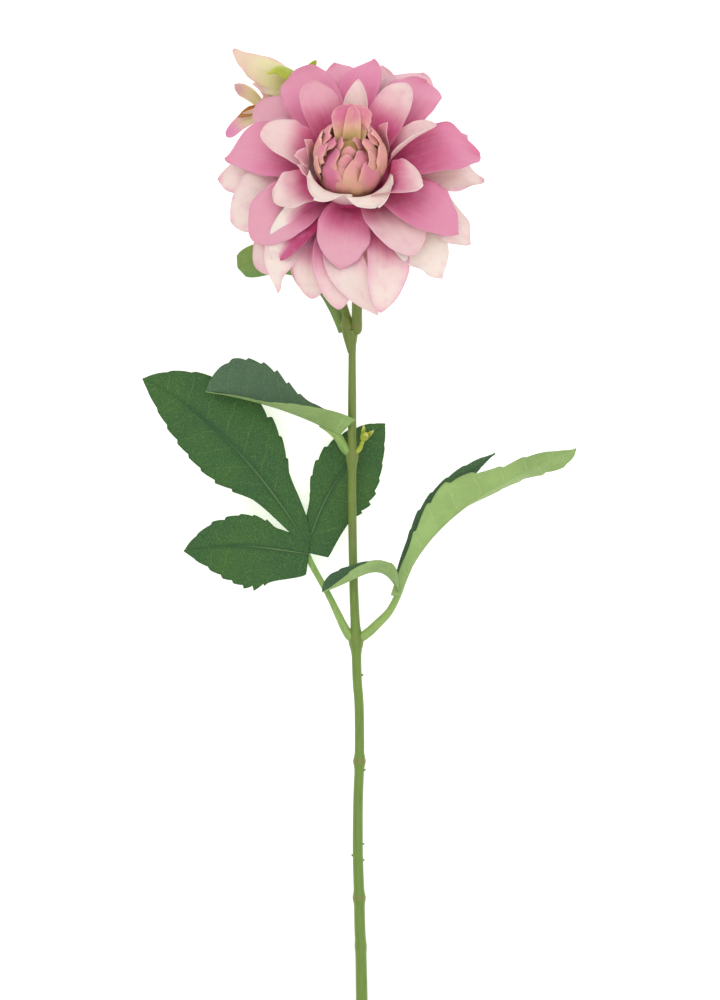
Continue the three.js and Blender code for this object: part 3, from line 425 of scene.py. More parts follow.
class Assembly:
    """Bodies gathered into one mesh, with named numbers for each corner and a cloth map."""

    def __init__(self, name):
        self.name = name
        self.corners = []
        self.faces = []
        self.slots = []
        self.numbers = {}
        self.maps = []
        self.count = 0

    def add(self, corners, faces, slot=0, cloth=None, **numbers):
        """One closed body; a number that a body lacks is 0 on its corners."""
        faces = faces.tolist() if isinstance(faces, np.ndarray) else faces
        self.faces += [[v + self.count for v in face] for face in faces]
        self.slots += [slot] * len(faces)
        self.corners.append(corners)
        self.maps.append(np.zeros((len(corners), 2)) if cloth is None else cloth)
        for name in {**self.numbers, **numbers}:
            column = self.numbers.setdefault(name, [np.zeros(self.count)] if self.count else [])
            value = numbers.get(name, 0.0)
            column.append(np.broadcast_to(np.asarray(value, float), len(corners)).copy())
        self.count += len(corners)

    def add_sheet(self, sheet, s, q, thickness, slot=0, **numbers):
        """A blade of a sheet, with its s, q and side as numbers and its distances as the cloth map."""
        corners, faces, under = closed_blade(sheet, thickness)
        S, Q = np.meshgrid(s, q, indexing="ij")
        along, across = arc_lengths(sheet)
        cloth = np.stack([across.ravel(), along.ravel()], -1) / CLOTH_UNIT
        self.add(corners, faces, slot, np.concatenate([cloth, cloth]), under=under,
                 along=np.tile(S.ravel(), 2), across=np.tile(Q.ravel(), 2), **numbers)

    def piece(self, materials, replaces):
        """The finished object: it rides on the one body and stands for the solid of a node."""
        mesh = bpy.data.meshes.new(self.name)
        corners = np.concatenate(self.corners) * MM
        mesh.from_pydata(corners.tolist(), [], self.faces)
        for name, columns in self.numbers.items():
            data = mesh.attributes.new(name, "FLOAT", "POINT").data
            data.foreach_set("value", np.concatenate(columns).astype(np.float32))
        corner_vertex = np.zeros(len(mesh.loops), np.int32)
        mesh.loops.foreach_get("vertex_index", corner_vertex)
        cloth = mesh.uv_layers.new(name="cloth")
        cloth.uv.foreach_set("vector", np.concatenate(self.maps)[corner_vertex].astype(np.float32).ravel())
        mesh.polygons.foreach_set("use_smooth", np.ones(len(mesh.polygons), bool))
        mesh.polygons.foreach_set("material_index", np.array(self.slots, np.int32))
        for material in materials:
            mesh.materials.append(material)
        if mesh.validate(verbose=False):
            raise RuntimeError(f"{self.name}: the mesh had faces that Blender had to drop")
        obj = bpy.data.objects.new(self.name, mesh)
        bpy.context.scene.collection.objects.link(obj)
        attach(obj, BODY)
        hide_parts(replaces)


# ------------------------------------------------------------------ shader maths
class Wire:
    """One output of a finish's nodes; arithmetic on it adds Math nodes."""

    def __init__(self, finish, socket):
        self.finish = finish
        self.socket = socket

    def maths(self, operation, *others):
        """A Math node on this value and the others."""
        inputs = dict(enumerate((self, *others)))
        return self.finish.node("ShaderNodeMath", {"operation": operation}, inputs)

    def __add__(self, other):
        return self.maths("ADD", other)

    def __sub__(self, other):
        return self.maths("SUBTRACT", other)

    def __rsub__(self, other):
        return self * -1.0 + other

    def __mul__(self, other):
        return self.maths("MULTIPLY", other)

    __radd__ = __add__
    __rmul__ = __mul__

    def __truediv__(self, other):
        return self.maths("DIVIDE", other)

    def __pow__(self, other):
        return self.maths("POWER", other)

    def __abs__(self):
        return self.maths("ABSOLUTE")


class Finish:
    """A material under construction: a Principled shader and the nodes that feed it."""

    def __init__(self, name, roughness, **constants):
        self.material = bpy.data.materials.new(name)
        self.material.use_nodes = True
        self.tree = self.material.node_tree
        self.shader = self.tree.nodes["Principled BSDF"]
        self.shader.inputs["Roughness"].default_value = roughness
        for key, value in constants.items():
            self.shader.inputs[key.replace("_", " ")].default_value = value

    def node(self, kind, settings=None, inputs=None, output=0):
        """Any node: its settings first, then the values or wires of its sockets."""
        node = self.tree.nodes.new(kind)
        for key, value in (settings or {}).items():
            setattr(node, key, value)
        for key, value in (inputs or {}).items():
            if isinstance(value, Wire):
                self.tree.links.new(value.socket, node.inputs[key])
            else:
                node.inputs[key].default_value = value
        return Wire(self, node.outputs[output])

    def numbers(self, *names):
        """Numbers stored on the piece's corners."""
        return [self.node("ShaderNodeAttribute", {"attribute_name": name}, output="Fac") for name in names]

    def place(self):
        """Object coordinates, in metres."""
        return self.node("ShaderNodeTexCoord", output="Object")

    def vector(self, x, y, z):
        """Three numbers as one vector."""
        return self.node("ShaderNodeCombineXYZ", None, {0: x, 1: y, 2: z})

    def stretched(self, place, along_y):
        """A place with its Y scaled: patterns on it run along the stem."""
        return self.node("ShaderNodeMapping", None, {"Vector": place, "Scale": (1.0, along_y, 1.0)})

    def noise(self, vector, scale, detail=2.0, roughness=0.5):
        """Cloudy noise from 0 to 1, about scale patches a metre."""
        return self.node("ShaderNodeTexNoise", None,
                         {"Vector": vector, "Scale": scale, "Detail": detail, "Roughness": roughness})

    def step(self, low, high, value):
        """0 below low, 1 above high, smooth between."""
        return self.node("ShaderNodeMapRange", {"interpolation_type": "SMOOTHSTEP"},
                         {"Value": value, "From Min": low, "From Max": high})

    def mix(self, first, second, share):
        """The first colour, and the second by its share."""
        first, second = (c if isinstance(c, Wire) else (*c, 1.0) for c in (first, second))
        return self.node("ShaderNodeMix", {"data_type": "RGBA"}, {0: share, 6: first, 7: second}, output=2)

    def finish(self, base, height, distance, strength):
        """The material, with its colour and a bump of the height over a distance in metres."""
        normal = self.node("ShaderNodeBump", None,
                           {"Strength": strength, "Distance": distance, "Height": height})
        self.tree.links.new(base.socket, self.shader.inputs["Base Color"])
        self.tree.links.new(normal.socket, self.shader.inputs["Normal"])
        return self.material

    def weave(self, threads):
        """Plain weave on the cloth map: the product of two sines, threads per unit of cloth."""
        cloth = self.node("ShaderNodeUVMap", {"uv_map": "cloth"})
        warp = self.node("ShaderNodeSeparateXYZ", None, {0: cloth}, output="X")
        weft = Wire(self, warp.socket.node.outputs["Y"])
        warp, weft = ((wire * (2 * pi * threads)).maths("SINE") for wire in (warp, weft))
        return warp * weft * 0.5 + 0.5


# what all petal cloth shares, and the threads of each cloth in one unit of its map
PETAL_CLOTH = dict(Sheen_Weight=0.12, Sheen_Roughness=0.5, Specular_IOR_Level=0.3,
                   Subsurface_Weight=0.12, Subsurface_Scale=2 * MM)
PETAL_THREADS = 330.0
LEAF_THREADS = 160.0


def petal_finish(name, deep, mid, pale, edge, back):
    """Dyed petal cloth: deep at the root, then mid, then pale by the petal's own share.

    The numbers on the corners are along and across (the blade's own s and q), under (1 on the
    back), reach (where the deep dye ends), cream (how pale the outer part is), rim (how pink the
    margin is), skew (how much further the dye runs on one side) and tone (a seeded draw).
    """
    f = Finish(name, 0.62, **PETAL_CLOTH)
    along, across, under, tone = f.numbers("along", "across", "under", "tone")
    reach, cream, rim, skew = f.numbers("reach", "cream", "rim", "skew")
    cloud = f.noise(f.place(), 70.0)
    streak = f.noise(f.vector(across * 7.0, along * 0.7, tone * 9.0), 1.6, 3.0, 0.6)
    where = along + (cloud - 0.5) * 0.34 + (streak - 0.5) * 0.06 + skew * across
    rooted = f.step(0.0, 1.0, where / (reach * 1.5))
    base = f.mix(deep, mid, rooted)
    washed = f.step(0.0, 1.0, (where - reach * 0.75) / 0.45) * cream
    base = f.mix(base, pale, washed)
    margin = abs(across) ** 5.0
    tip = f.step(0.93, 1.0, along)
    edged = margin.maths("MAXIMUM", tip) * (0.6 + streak * 0.8) * rim
    base = f.mix(base, edge, edged)
    blotch = f.noise(f.place(), 240.0)
    base = f.mix(base, edge, f.step(0.45, 0.8, blotch) * 0.28)
    base = f.mix(base, back, under * 0.45)
    base = f.mix(base, tint(pale, 1.12), (streak - 0.5).maths("MAXIMUM", 0.0) * 0.2)
    threads = f.weave(PETAL_THREADS)
    height = streak * 0.5 + threads * 0.25 + cloud * 0.3
    return f.finish(base, height, 0.35 * MM, 0.35)


def heart_finish(name, gold, peach, pink, magenta, pale):
    """Young petals: golden green at the root, peach, pink tips and magenta patches.

    reach ends the gold, cream is the strength of the magenta patch and rim that of the pale margin.
    """
    f = Finish(name, 0.6, **PETAL_CLOTH)
    along, across, under, tone = f.numbers("along", "across", "under", "tone")
    reach, patch, rim = f.numbers("reach", "cream", "rim")
    cloud = f.noise(f.place(), 230.0, 3.0)
    where = along + (cloud - 0.5) * 0.35
    base = f.mix(gold, peach, f.step(0.0, 1.0, where / (reach * 1.6)))
    base = f.mix(base, pink, f.step(0.62, 1.0, where) * 0.75)
    spot = f.step(0.05, 0.5, where) * (1.0 - f.step(0.25, 1.3, abs(across - tone * 0.3)))
    base = f.mix(base, magenta, spot * patch)
    base = f.mix(base, gold, f.step(0.55, 0.8, cloud) * 0.25)
    margin = (abs(across) ** 7.0).maths("MAXIMUM", f.step(0.93, 1.0, along))
    base = f.mix(base, pale, margin * rim)
    base = f.mix(base, peach, under * 0.3)
    return f.finish(base, f.weave(PETAL_THREADS) * 0.25 + cloud * 0.6, 0.35 * MM, 0.4)


def leaf_finish(name, top, speck, vein, below, below_vein):
    """Printed leaf cloth: a speckled weave above, a paler ribbed underside.

    Side veins follow lines of constant s through the tooth tips, the midrib is q = 0 and fades
    towards the tip. cream is the share of painted sheen on top: a cold grey-green that stands for
    light glancing off the leaf.
    """
    f = Finish(name, 0.6, Specular_IOR_Level=0.25, Sheen_Weight=0.05, Sheen_Roughness=0.4)
    along, across, under, tone = f.numbers("along", "across", "under", "tone")
    teeth, painted_sheen = f.numbers("teeth", "cream")
    place = f.place()
    cloud = f.noise(place, 45.0, 3.0)
    left = f.step(-0.001, 0.001, across) * -0.5 + 0.5
    wobble = (f.noise(place, 160.0, 1.0) - 0.5) * 0.3
    turn = (along * teeth + (1 - TOOTH_TURN) + wobble + left).maths("FRACT")
    near = abs(turn - 0.5) * -1.0 + 0.5
    side_vein = 1.0 - f.step(0.0, 0.05, near)
    side_vein = side_vein * f.step(0.03, 0.12, abs(across)) * (1.0 - f.step(0.6, 0.95, abs(across)))
    midrib = 1.0 - f.step(0.006, 0.03, abs(across))
    # painted shade mask: the furrow along the midrib's lower part
    painted_valley_shade = (1.0 - f.step(0.0, 0.16, abs(across))) * (1.0 - f.step(0.6, 1.0, along))
    ribs = side_vein.maths("MAXIMUM", midrib)
    grain = f.noise(place, 1700.0, 1.0)
    threads = f.weave(LEAF_THREADS)
    specks = f.step(0.52, 0.74, grain * 0.75 + threads * 0.3)
    upper = f.mix(top, tint(top, (1.5, 1.25, 0.8)), f.step(0.35, 0.7, cloud + tone * 0.05))
    # painted shade: the top darker and bluer along the midrib's furrow, with fewer specks there
    upper = f.mix(upper, tint(top, (0.62, 0.72, 0.95)), painted_valley_shade * 0.8)
    # painted sheen: a cold grey-green over the top that stands for light glancing off the leaf
    upper = f.mix(upper, colour(SHADES["painted_sheen_green"]), painted_sheen * 0.75)
    upper = f.mix(upper, speck, specks * (1.0 - painted_valley_shade * 0.6) * 0.42)
    fading = 1.0 - f.step(0.15, 0.75, along)
    upper = f.mix(upper, vein, (midrib * fading).maths("MAXIMUM", side_vein * 0.35) * 0.45)
    lower = f.mix(below, tint(below, 0.8), f.step(0.35, 0.7, cloud))
    lower = f.mix(lower, tint(below, 1.35), specks * 0.3)
    lower = f.mix(lower, tint(below, 1.2), f.step(0.4, 0.7, f.noise(place, 180.0)) * 0.5)
    lower = f.mix(lower, below_vein, ribs * 0.4)
    base = f.mix(upper, lower, under)
    flip = under * 2.0 - 1.0
    height = threads * 0.25 + grain * 0.25 + ribs * flip * 0.8 + cloud * 0.5
    return f.finish(base, height, 0.4 * MM, 0.5)


def stem_finish(name, low, high, brown):
    """Moulded stem: two greens along +Y, long streaks, and patchy brown scars round the joints."""
    f = Finish(name, 0.42, Specular_IOR_Level=0.4, Coat_Weight=0.08, Coat_Roughness=0.3)
    place = f.place()
    y = f.node("ShaderNodeSeparateXYZ", None, {0: place}, output="Y")
    streak = f.noise(f.stretched(place, 0.12), 900.0, 3.0)
    cloud = f.noise(place, 60.0)
    fine = f.noise(place, 1400.0)
    base = f.mix(low, high, f.step(-0.06, 0.03, y + (cloud - 0.5) * 0.02))
    base = f.mix(base, tint(high, 0.7), f.step(0.45, 0.75, streak) * 0.45)
    base = f.mix(base, tint(high, 1.3), f.step(0.6, 0.8, cloud) * 0.25)
    patchy = f.step(0.3, 0.7, f.noise(place, 500.0))
    frayed = y + (fine - 0.5) * (2.2 * MM)
    bands = [(1.0 - f.step(0.0, reach * MM, abs(frayed - at * MM))) * patchy * weight
             for at, reach, weight in SCARS]
    base = f.mix(base, brown, reduce(lambda scar, band: scar.maths("MAXIMUM", band), bands))
    return f.finish(base, streak * 0.6 + fine * 0.3, 0.25 * MM, 0.4)


def soft_green_finish(name, light, dark, tip, roughness=0.5):
    """Sepals and stalks: light green with darker streaks and a paler tip where the blade ends."""
    f = Finish(name, roughness, Specular_IOR_Level=0.4, Subsurface_Weight=0.08, Subsurface_Scale=2 * MM)
    place = f.place()
    along, = f.numbers("along")
    streak = f.noise(f.stretched(place, 0.3), 700.0, 3.0)
    cloud = f.noise(place, 120.0)
    base = f.mix(light, dark, f.step(0.35, 0.75, cloud * 0.6 + streak * 0.4))
    base = f.mix(base, tip, f.step(0.55, 1.0, along) * 0.6)
    return f.finish(base, streak * 0.6 + cloud * 0.4, 0.3 * MM, 0.4)


# ------------------------------------------------------------------ tables
# A petal's row: azimuth, reach, height, half width, paint and its own options. Its paint is how
# far the deep dye reaches, how pale the outer part is, how pink its rim is and, where the dye runs
# further on one side, a skew. clear is the side of the closed middle's wall that a ring keeps to
# and its distance from it, and grid the rows and columns of a petal where the settings don't rule.

# the ring that shows all round the bloom
OUTER = dict(
    bloom=MAIN, node="main_bloom_petals", slot="petal", seed=35,
    shared=dict(root=(12, -5), rise=68, cup=(45, 14, 4), point=0.75, ruffle=0.06, flick=-3, tilt=12),
    petals=[
        (3, 60, -4, 10, (0.25, 0.9, 0.5, 0.1), dict(flick=-7, pinch=50, bow=2, frill=0.06)),
        (-27, 60, -8, 11, (0.25, 0.9, 0.2), dict(frill=0.07, hook=1.5)),
        (-46, 60.5, -8, 13, (0.2, 1.0, 0.1),
         dict(ruffle=0.12, frill=0.13, hook=3, widest=0.65, point=0.8)),
        (-78.5, 64, -6, 9.5, (0.5, 0.9, 0.6),
         dict(point=0.7, cup=(45, 20, 12), bow=-6, lean=14, widest=0.68)),
        (-79.5, 62.5, -12, 9, (0.4, 0.9, 0.3, 0.1),
         dict(bow=9, lean=-10, point=0.85, twist=-25, cup=(45, 30, 22))),
        (-95.5, 60, -9, 9.5, (0.6, 0.75, 0.4), dict(point=0.6, bow=4, frill=0.06)),
        (-109, 56, -12, 9.5, (0.6, 0.9, 0.4), dict(point=0.55, bow=5)),
        (-127.5, 61, -7, 8.6, (0.55, 0.95, 0.4), dict(flick=-5, pinch=30, bow=3.5, hook=-5, point=0.9)),
        (-136, 57, -10, 11, (0.5, 0.8, 0.4), dict(point=0.45, frill=0.05)),
        (-163, 56, -6, 14, (0.3, 0.9, 0.3), dict(point=0.6, bow=2, frill=0.04)),
        (174, 60, -10, 11, (0.3, 0.85, 0.4), dict(frill=0.06)),
        (148, 53, -4, 11, (0.35, 0.45, 0.4), dict(point=0.55)),
        (136, 59, -3, 10, (0.35, 0.35, 0.2), dict(point=0.45)),
        (96, 63.5, -5, 10, (0.35, 0.2, 0.3), dict(point=0.6)),
        (77.5, 62.5, -4, 8, (0.35, 0.5, 0.3), dict(point=0.9, bow=6)),
        (61, 64, -3, 13.5, (0.35, 0.55, 0.3), dict(point=0.5)),
        (27, 58.5, -10, 11, (0.35, 0.5, 0.3), {}),
    ],
)
# the broad pink petals over them
MIDDLE = dict(
    bloom=MAIN, node="main_bloom_petals", slot="petal", seed=42,
    shared=dict(root=(12, -2.5), rise=48, cup=(60, 26, 12), point=0.6, ruffle=0.06, flick=-4, blunt=2.3,
                tilt=12),
    petals=[
        (13, 58.5, 5, 14.5, (0.65, 0.1, 0.3),
         dict(flick=-6, pinch=30, lean=-8, point=0.8, blunt=3, hook=3, frill=0.05)),
        (-31, 55.5, 2, 13, (0.5, 0.15, 0.3), dict(point=0.8, frill=0.05)),
        (-54.5, 49, 6, 13, (0.35, 0.65, 0.2), dict(point=0.75, frill=0.05, root=(12, -4), lean=4)),
        (-96, 45.5, 2, 12, (0.5, 0.35, 0.3), dict(point=0.8, frill=0.06)),
        (-132, 52, -1, 9.5, (0.75, 1.0, 0.0, 0.55), dict(ruffle=0.24, cup=(60, 50, 30), frill=0.05)),
        (-146, 53, 2, 13, (0.4, 0.3, 0.3), dict(point=0.65, frill=0.05)),
        (164, 57.5, 3, 12.5, (0.45, 0.2, 0.4), dict(flick=-5, point=0.85, hook=-4)),
        (115.5, 59, 6, 12.5, (0.4, 0.15, 0.3), dict(point=0.5)),
        (80, 58.5, 8, 9.5, (0.5, 0.1, 0.3), dict(point=0.85, bow=-3)),
        (53, 57, 7, 13.5, (0.55, 0.15, 0.3), dict(point=0.4, bow=2, blunt=3)),
    ],
)
# hollow petals that stand up round the closed middle
INNER = dict(
    bloom=MAIN, node="main_bloom_petals", slot="petal", seed=60, clear=(1, 0.9),
    shared=dict(root=(13, -1.5), rise=12, cup=(75, 50, 30), point=0.5, widest=0.62, ruffle=0.04, sway=0.03,
                flick=-2, blunt=2.4, neck=0.5),
    petals=[
        (-22, 32, 20, 11.5, (0.85, 1, 0), dict(cup=(70, 62, 50), flick=-4, lean=-26, rise=18)),
        (23, 40, 19, 7.5, (0.35, 0.75, 0.1, 0.1),
         dict(cup=(80, 75, 60), point=0.6, rise=24, lean=-6, tilt=30)),
        (55.5, 42.5, 21, 9, (0.65, 0.8, 0.2), dict(cup=(80, 45, 25), rise=20, lean=-14)),
        (83, 32.5, 28, 6.5, (0.3, 0.8, 0.1), dict(point=0.8, cup=(80, 60, 50), rise=6)),
        (117, 39.5, 22, 9, (0.6, 0.35, 0), dict(cup=(70, 45, 30), rise=16, frill=0.05)),
        (160, 40, 19, 9.8, (0.42, 0.75, 0, -0.1), dict(cup=(75, 40, 30), rise=22, frill=0.05)),
        (-152, 37, 13, 10.5, (0.7, 0.85, 0), dict(cup=(80, 60, 45), rise=20, lean=10, frill=0.07)),
        (-126, 21.3, 23, 10.5, (0.35, 1, 0),
         dict(cup=(60, 50, 30), flick=-5, blunt=3, rise=6, frill=0.07)),
        (-64, 23.3, 19.5, 12, (0.4, 1, 0),
         dict(cup=(60, 55, 30), flick=-5, blunt=3, rise=6, lean=14, frill=0.07)),
    ],
)
# small loose petals round the closed middle
CROWN = dict(
    bloom=MAIN, node="main_bloom_petals", slot="petal", seed=69, clear=(1, 0.9),
    shared={**INNER["shared"], "cup": (60, 40, 20), "rise": 14, "flick": 0},
    petals=[
        (176, 23.5, 20, 4.6, (0.12, 0.3, 0.5), dict(point=0.9, frill=0.12, hook=-2)),
        (-165, 22.5, 18, 4.4, (0.12, 0.3, 0.5), dict(point=1, frill=0.12, hook=2)),
        (163, 20, 23, 3.6, (0.12, 0.3, 0.5), dict(rise=8, point=1, frill=0.1)),
        (33, 19.5, 28, 4, (0.3, 0.6, 0.3), dict(cup=(60, 50, 40), rise=6, point=0.9)),
    ],
)
# the closed middle
HEART = dict(
    bloom=MAIN, node="main_bloom_centre", slot="centre", seed=80, clear=(-1, 0.6), grid=(40, 21),
    shared=dict(root=(13.5, 4), rise=20, bulge=0.75, cup=(45, 50, 40), point=0.65, widest=0.6, neck=0.7,
                blunt=2.4, ruffle=0.12, sway=0.08, crease=0.3, fine=0.06, frill=0.04),
    petals=[
        # outer circle, bent in over the middle
        (-136, 9.5, 24, 8, (0.3, 1.0, 0.3), dict(twist=14, lean=6)),
        (-101, 6.5, 26.5, 5.5, (0.4, 0.35, 0.3), dict(twist=-8)),
        (-77, 7, 27, 6, (0.5, 0.2, 0.5), dict(twist=-22, point=0.8)),
        (-47, 10, 25.5, 7.5, (0.4, 0.8, 0.2), dict(twist=-10)),
        (-8, 13, 27, 8, (0.4, 0.2, 0.5), dict(twist=8)),
        (24, 13, 29.5, 7, (0.45, 0.25, 0.6), dict(point=0.9, rise=8, flick=-1.5)),
        (52, 11, 28, 6.5, (0.4, 0.8, 0.3), dict(twist=12, point=0.8)),
        (126, 12.5, 27.5, 7.5, (0.45, 0.4, 0.5), dict(twist=-12)),
        (160, 12.5, 27, 7.5, (0.4, 0.2, 0.9), dict(twist=-10, flick=-1)),
        (-168, 13, 23, 6, (0.4, 0.2, 0.7), dict(twist=16, flick=-1, point=0.8)),
        # second circle
        (-150, 5.5, 29, 6.5, (0.2, 1.0, 0.1), dict(root=(9.5, 8), twist=24)),
        (168, 6, 30, 6, (0.2, 1.0, 0.1), dict(root=(9.5, 8), twist=10)),
        (-96, 5, 28.5, 5.5, (0.4, 0.6, 0.4), dict(root=(9, 8), twist=-14)),
        (-45, 5.5, 29, 6, (0.4, 0.7, 0.3), dict(root=(9, 8), twist=-18)),
        (5, 6, 30, 6, (0.4, 0.4, 0.4), dict(root=(9, 8), twist=-15)),
        (-178, 9.5, 28.5, 6, (0.3, 0.8, 0.4), dict(root=(12, 7), twist=10)),
        (148, 9.5, 29.5, 6, (0.4, 0.6, 0.5), dict(root=(12, 7), twist=-8)),
        (28, 9.5, 29.5, 6, (0.4, 0.5, 0.4), dict(root=(12, 7), twist=10, point=0.8)),
        (-22, 9, 29, 6, (0.4, 0.3, 0.5), dict(root=(12, 7), twist=-8)),
        # the tips at the very top
        (20, 2.5, 29.5, 4.5, (0.4, 0.6, 0.3), dict(root=(5, 12))),
        (165, 2.5, 30, 4.5, (0.4, 0.8, 0.3), dict(root=(5, 12))),
        (-90, 1.5, 29.5, 4.5, (0.4, 0.4, 0.3), dict(root=(5, 12))),
    ],
)
# two petals that stand up from the back of the closed middle
TONGUES = dict(
    bloom=MAIN, node="main_bloom_centre", slot="centre", seed=110, grid=(40, 21),
    shared=dict(root=(5, 23), rise=55, cup=(55, 45, 35), neck=0.9, blunt=3, crease=0.2),
    petals=[
        (95, 18.5, 31, 6.8, (0.3, 0.9, 0.3), dict(point=0.6, blunt=2.4, hook=1.5)),
        (73, 19, 30, 6.0, (0.3, 0.7, 0.3), dict(tilt=-14, point=0.5, frill=0.06)),
    ],
)
# the lowest petals, which close the gaps behind the outer ring
BACK = dict(
    bloom=MAIN, node="main_bloom_petals", slot="petal", seed=28, grid=(30, 17),
    shared=dict(root=(9, -8), rise=84, cup=(40, 12, 4), point=0.7, ruffle=0.06, flick=-2, tilt=12),
    petals=[(at, reach, height, half, (0.3, 0.7, 0.4), {}) for at, reach, height, half in (
        (44, 52, -33, 11), (68, 50, -30, 11), (92, 48, -27, 10), (16, 50, -25, 11.5), (-10, 49, -22, 11.5),
        (-36, 47, -22, 11.5), (-60, 43, -22, 11.5), (-88, 49, -22, 12), (-117, 49, -21, 12),
        (-146, 49, -19, 12), (-174, 47, -17, 11))],
)
# the half-open side bloom; seed 32 is its dried petal's
SIDE_RING = dict(
    bloom=SIDE, node="side_bloom_petals", slot="cream_petal", seed=28, grid=(40, 21),
    shared=dict(root=(3, 0), rise=40, cup=(80, 50, 25), point=0.8, widest=0.55, ruffle=0.05, flick=-2,
                neck=0.5),
    petals=[
        (-38, 18, 31, 8.5, (0.6, 0.6, 0.9),
         dict(cup=(40, 25, 30), point=0.65, blunt=1.5, widest=0.3, neck=0.9, tilt=42, bow=-1, hook=-3)),
        (-80, 12.5, 30, 3.8, (0.6, 1.0, 0.3), dict(root=(7, 10), lean=-95, point=0.7, rise=20, bow=-5)),
        (-66, 8, 20.5, 3.2, (0.6, 1.0, 0.3), dict(point=0.6, rise=25, tilt=-25)),
        (175, 17.5, 30, 3.4, (0.65, 1.0, 0.5), dict(point=0.4, blunt=4, rise=10, tilt=75, bow=-8)),
        (-14, 12.5, 10, 7, (1.2, 0.1, 0.1), dict(point=0.45, neck=0.8, tilt=-45, seed=33)),
        (62, 9, 16, 6, (0.3, 0.5, 0.3), dict(seed=34)),
        (98, 11, 15, 6.5, (0.3, 0.5, 0.3), dict(seed=35)),
        (140, 10, 17, 6, (0.3, 0.5, 0.3), dict(seed=36)),
        (-150, 5, 17, 5, (0.3, 0.5, 0.3), dict(rise=25, seed=37)),
    ],
)
# the one petal of the side bloom that has dried
DRY_RING = {
    **SIDE_RING, "seed": 32, "grid": (30, 13),
    "petals": [(-146, 11.5, 26, 3.2, (0.3, 0.5, 0.3), dict(point=0.9, rise=20, tilt=75, widest=0.75))],
}

# sepals of the two calyces, and scales of the bud
SEPAL = dict(root=(3.5, MAIN_CUP_TOP - 1.2), rise=88, cup=(20, 20, 10), point=0.7, widest=0.5, neck=0.7,
             crease=0.2)
SEPAL_COUNT = 7
SIDE_SEPAL = dict(root=(2.6, SIDE_CUP_TOP - 1), rise=80, cup=(50, 40, 30), point=0.9, widest=0.45,
                  neck=0.6, bulge=0.4)
SIDE_SEPALS = [
    (-50, 18, 15, 4.8, dict(hook=4, widest=0.5, bulge=0.6, neck=0.4, cup=(15, 25, 25))),
    (20, 15, -3, 2.8, {}),
    (-12, 18.5, -7, 3.2, dict(point=0.5, tilt=60)),
    (170, 13, 9, 2.6, {}),
    (-120, 12, 2, 2.6, {}),
]
BUD_SCALE = dict(root=(0.8, -1), rise=30, cup=(60, 50, 30), point=0.9, widest=0.5, neck=0.6, crease=0.05)
BUD_SCALE_COUNT = 3

# [radius, height] profiles, turned about a bloom's axis
RECEPTACLE = [
    (0, RECEPTACLE_FOOT), (6, RECEPTACLE_FOOT), (11, -9.5), (14.5, -5.5), (16, -1), (16.3, RECEPTACLE_TOP),
    (0, RECEPTACLE_TOP),
]
HEART_CORE = [
    (0, HEART_FOOT), (13, HEART_FOOT), (14.6, 8), (13.6, 14), (11.5, 19), (7.5, 22.8), (3, 24.3), (0, 24.5),
]
MAIN_CUP = [
    (0, MAIN_CUP_TOP - CUP_DEPTH), (3.4, MAIN_CUP_TOP - CUP_DEPTH), (6, MAIN_CUP_TOP - 1.6),
    (6.6, MAIN_CUP_TOP), (0, MAIN_CUP_TOP),
]
SIDE_CORE = [(0, SIDE_FOOT), (3.2, SIDE_FOOT), (4.8, -0.5), (4.8, 3), (3, 6), (0, 7)]
SIDE_CUP = [
    (0, SIDE_CUP_TOP - CUP_DEPTH), (2, SIDE_CUP_TOP - CUP_DEPTH), (3.6, SIDE_CUP_TOP - 1.4),
    (3.9, SIDE_CUP_TOP), (0, SIDE_CUP_TOP),
]
BUD_CORE = [(0, -1.6), (1.3, -1.2), (1.9, 0.4), (1.5, 2), (0, 3)]


def ring_piece(name, ring, finish):
    """One ring of petals as one piece; each petal's seed is the ring's plus its place in it."""
    made = Assembly(name)
    sizes = settings()
    grid = ring.get("grid", (sizes.petal_rows, sizes.petal_columns))
    for k, (azimuth, reach, height, half, paint, own) in enumerate(ring["petals"]):
        options = {"seed": ring["seed"] + k, **ring["shared"], **own}
        sheet, s, q = petal_sheet(ring["bloom"], azimuth, reach, height, half, grid, **options)
        if "clear" in ring:
            sheet = clear_middle(sheet, *ring["clear"])
        dye, cream, rim, skew = (*paint, 0)[:4]
        made.add_sheet(rest_on_table(sheet), s, q, sizes.petal_thickness / MM, reach=dye, cream=cream,
                       rim=rim, skew=skew, tone=scatter(options["seed"], 40))
    made.piece([finish], ring["node"])


# ------------------------------------------------------------------ stem and leaves
# x, y, z and radius along each rod
STEM_KNOTS = [
    (1.6, -222, 2.6, 2.6), (1.5, -208, 2.9, 2.6), (1.4, -194, 3.4, 2.6), (1.0, -174, 4.4, 2.5),
    (0.6, -165, 4.9, 2.45), (0.3, -151.3, 5.6, 2.4), (-0.3, -131, 6.7, 2.3), (-0.2, -108.7, 8.0, 2.2),
    (0.4, -90.6, 9.0, 2.15), (0.3, -67.3, 10.3, 2.1), (-0.6, -54, 11.1, 2.1), (*LEAF_JOINT, 2.1),
    (-1.9, -19, 13.0, 2.0), (-2.4, -1.3, 13.9, 1.9), (-2.8, 25, 15.2, 1.85), (-2.8, 47, 16.2, 1.85),
    (-2.8, 69, 17.3, 1.85), (-2.8, 90.2, 18.4, 1.65), (-2.7, 100, 19.2, 2.2),
]
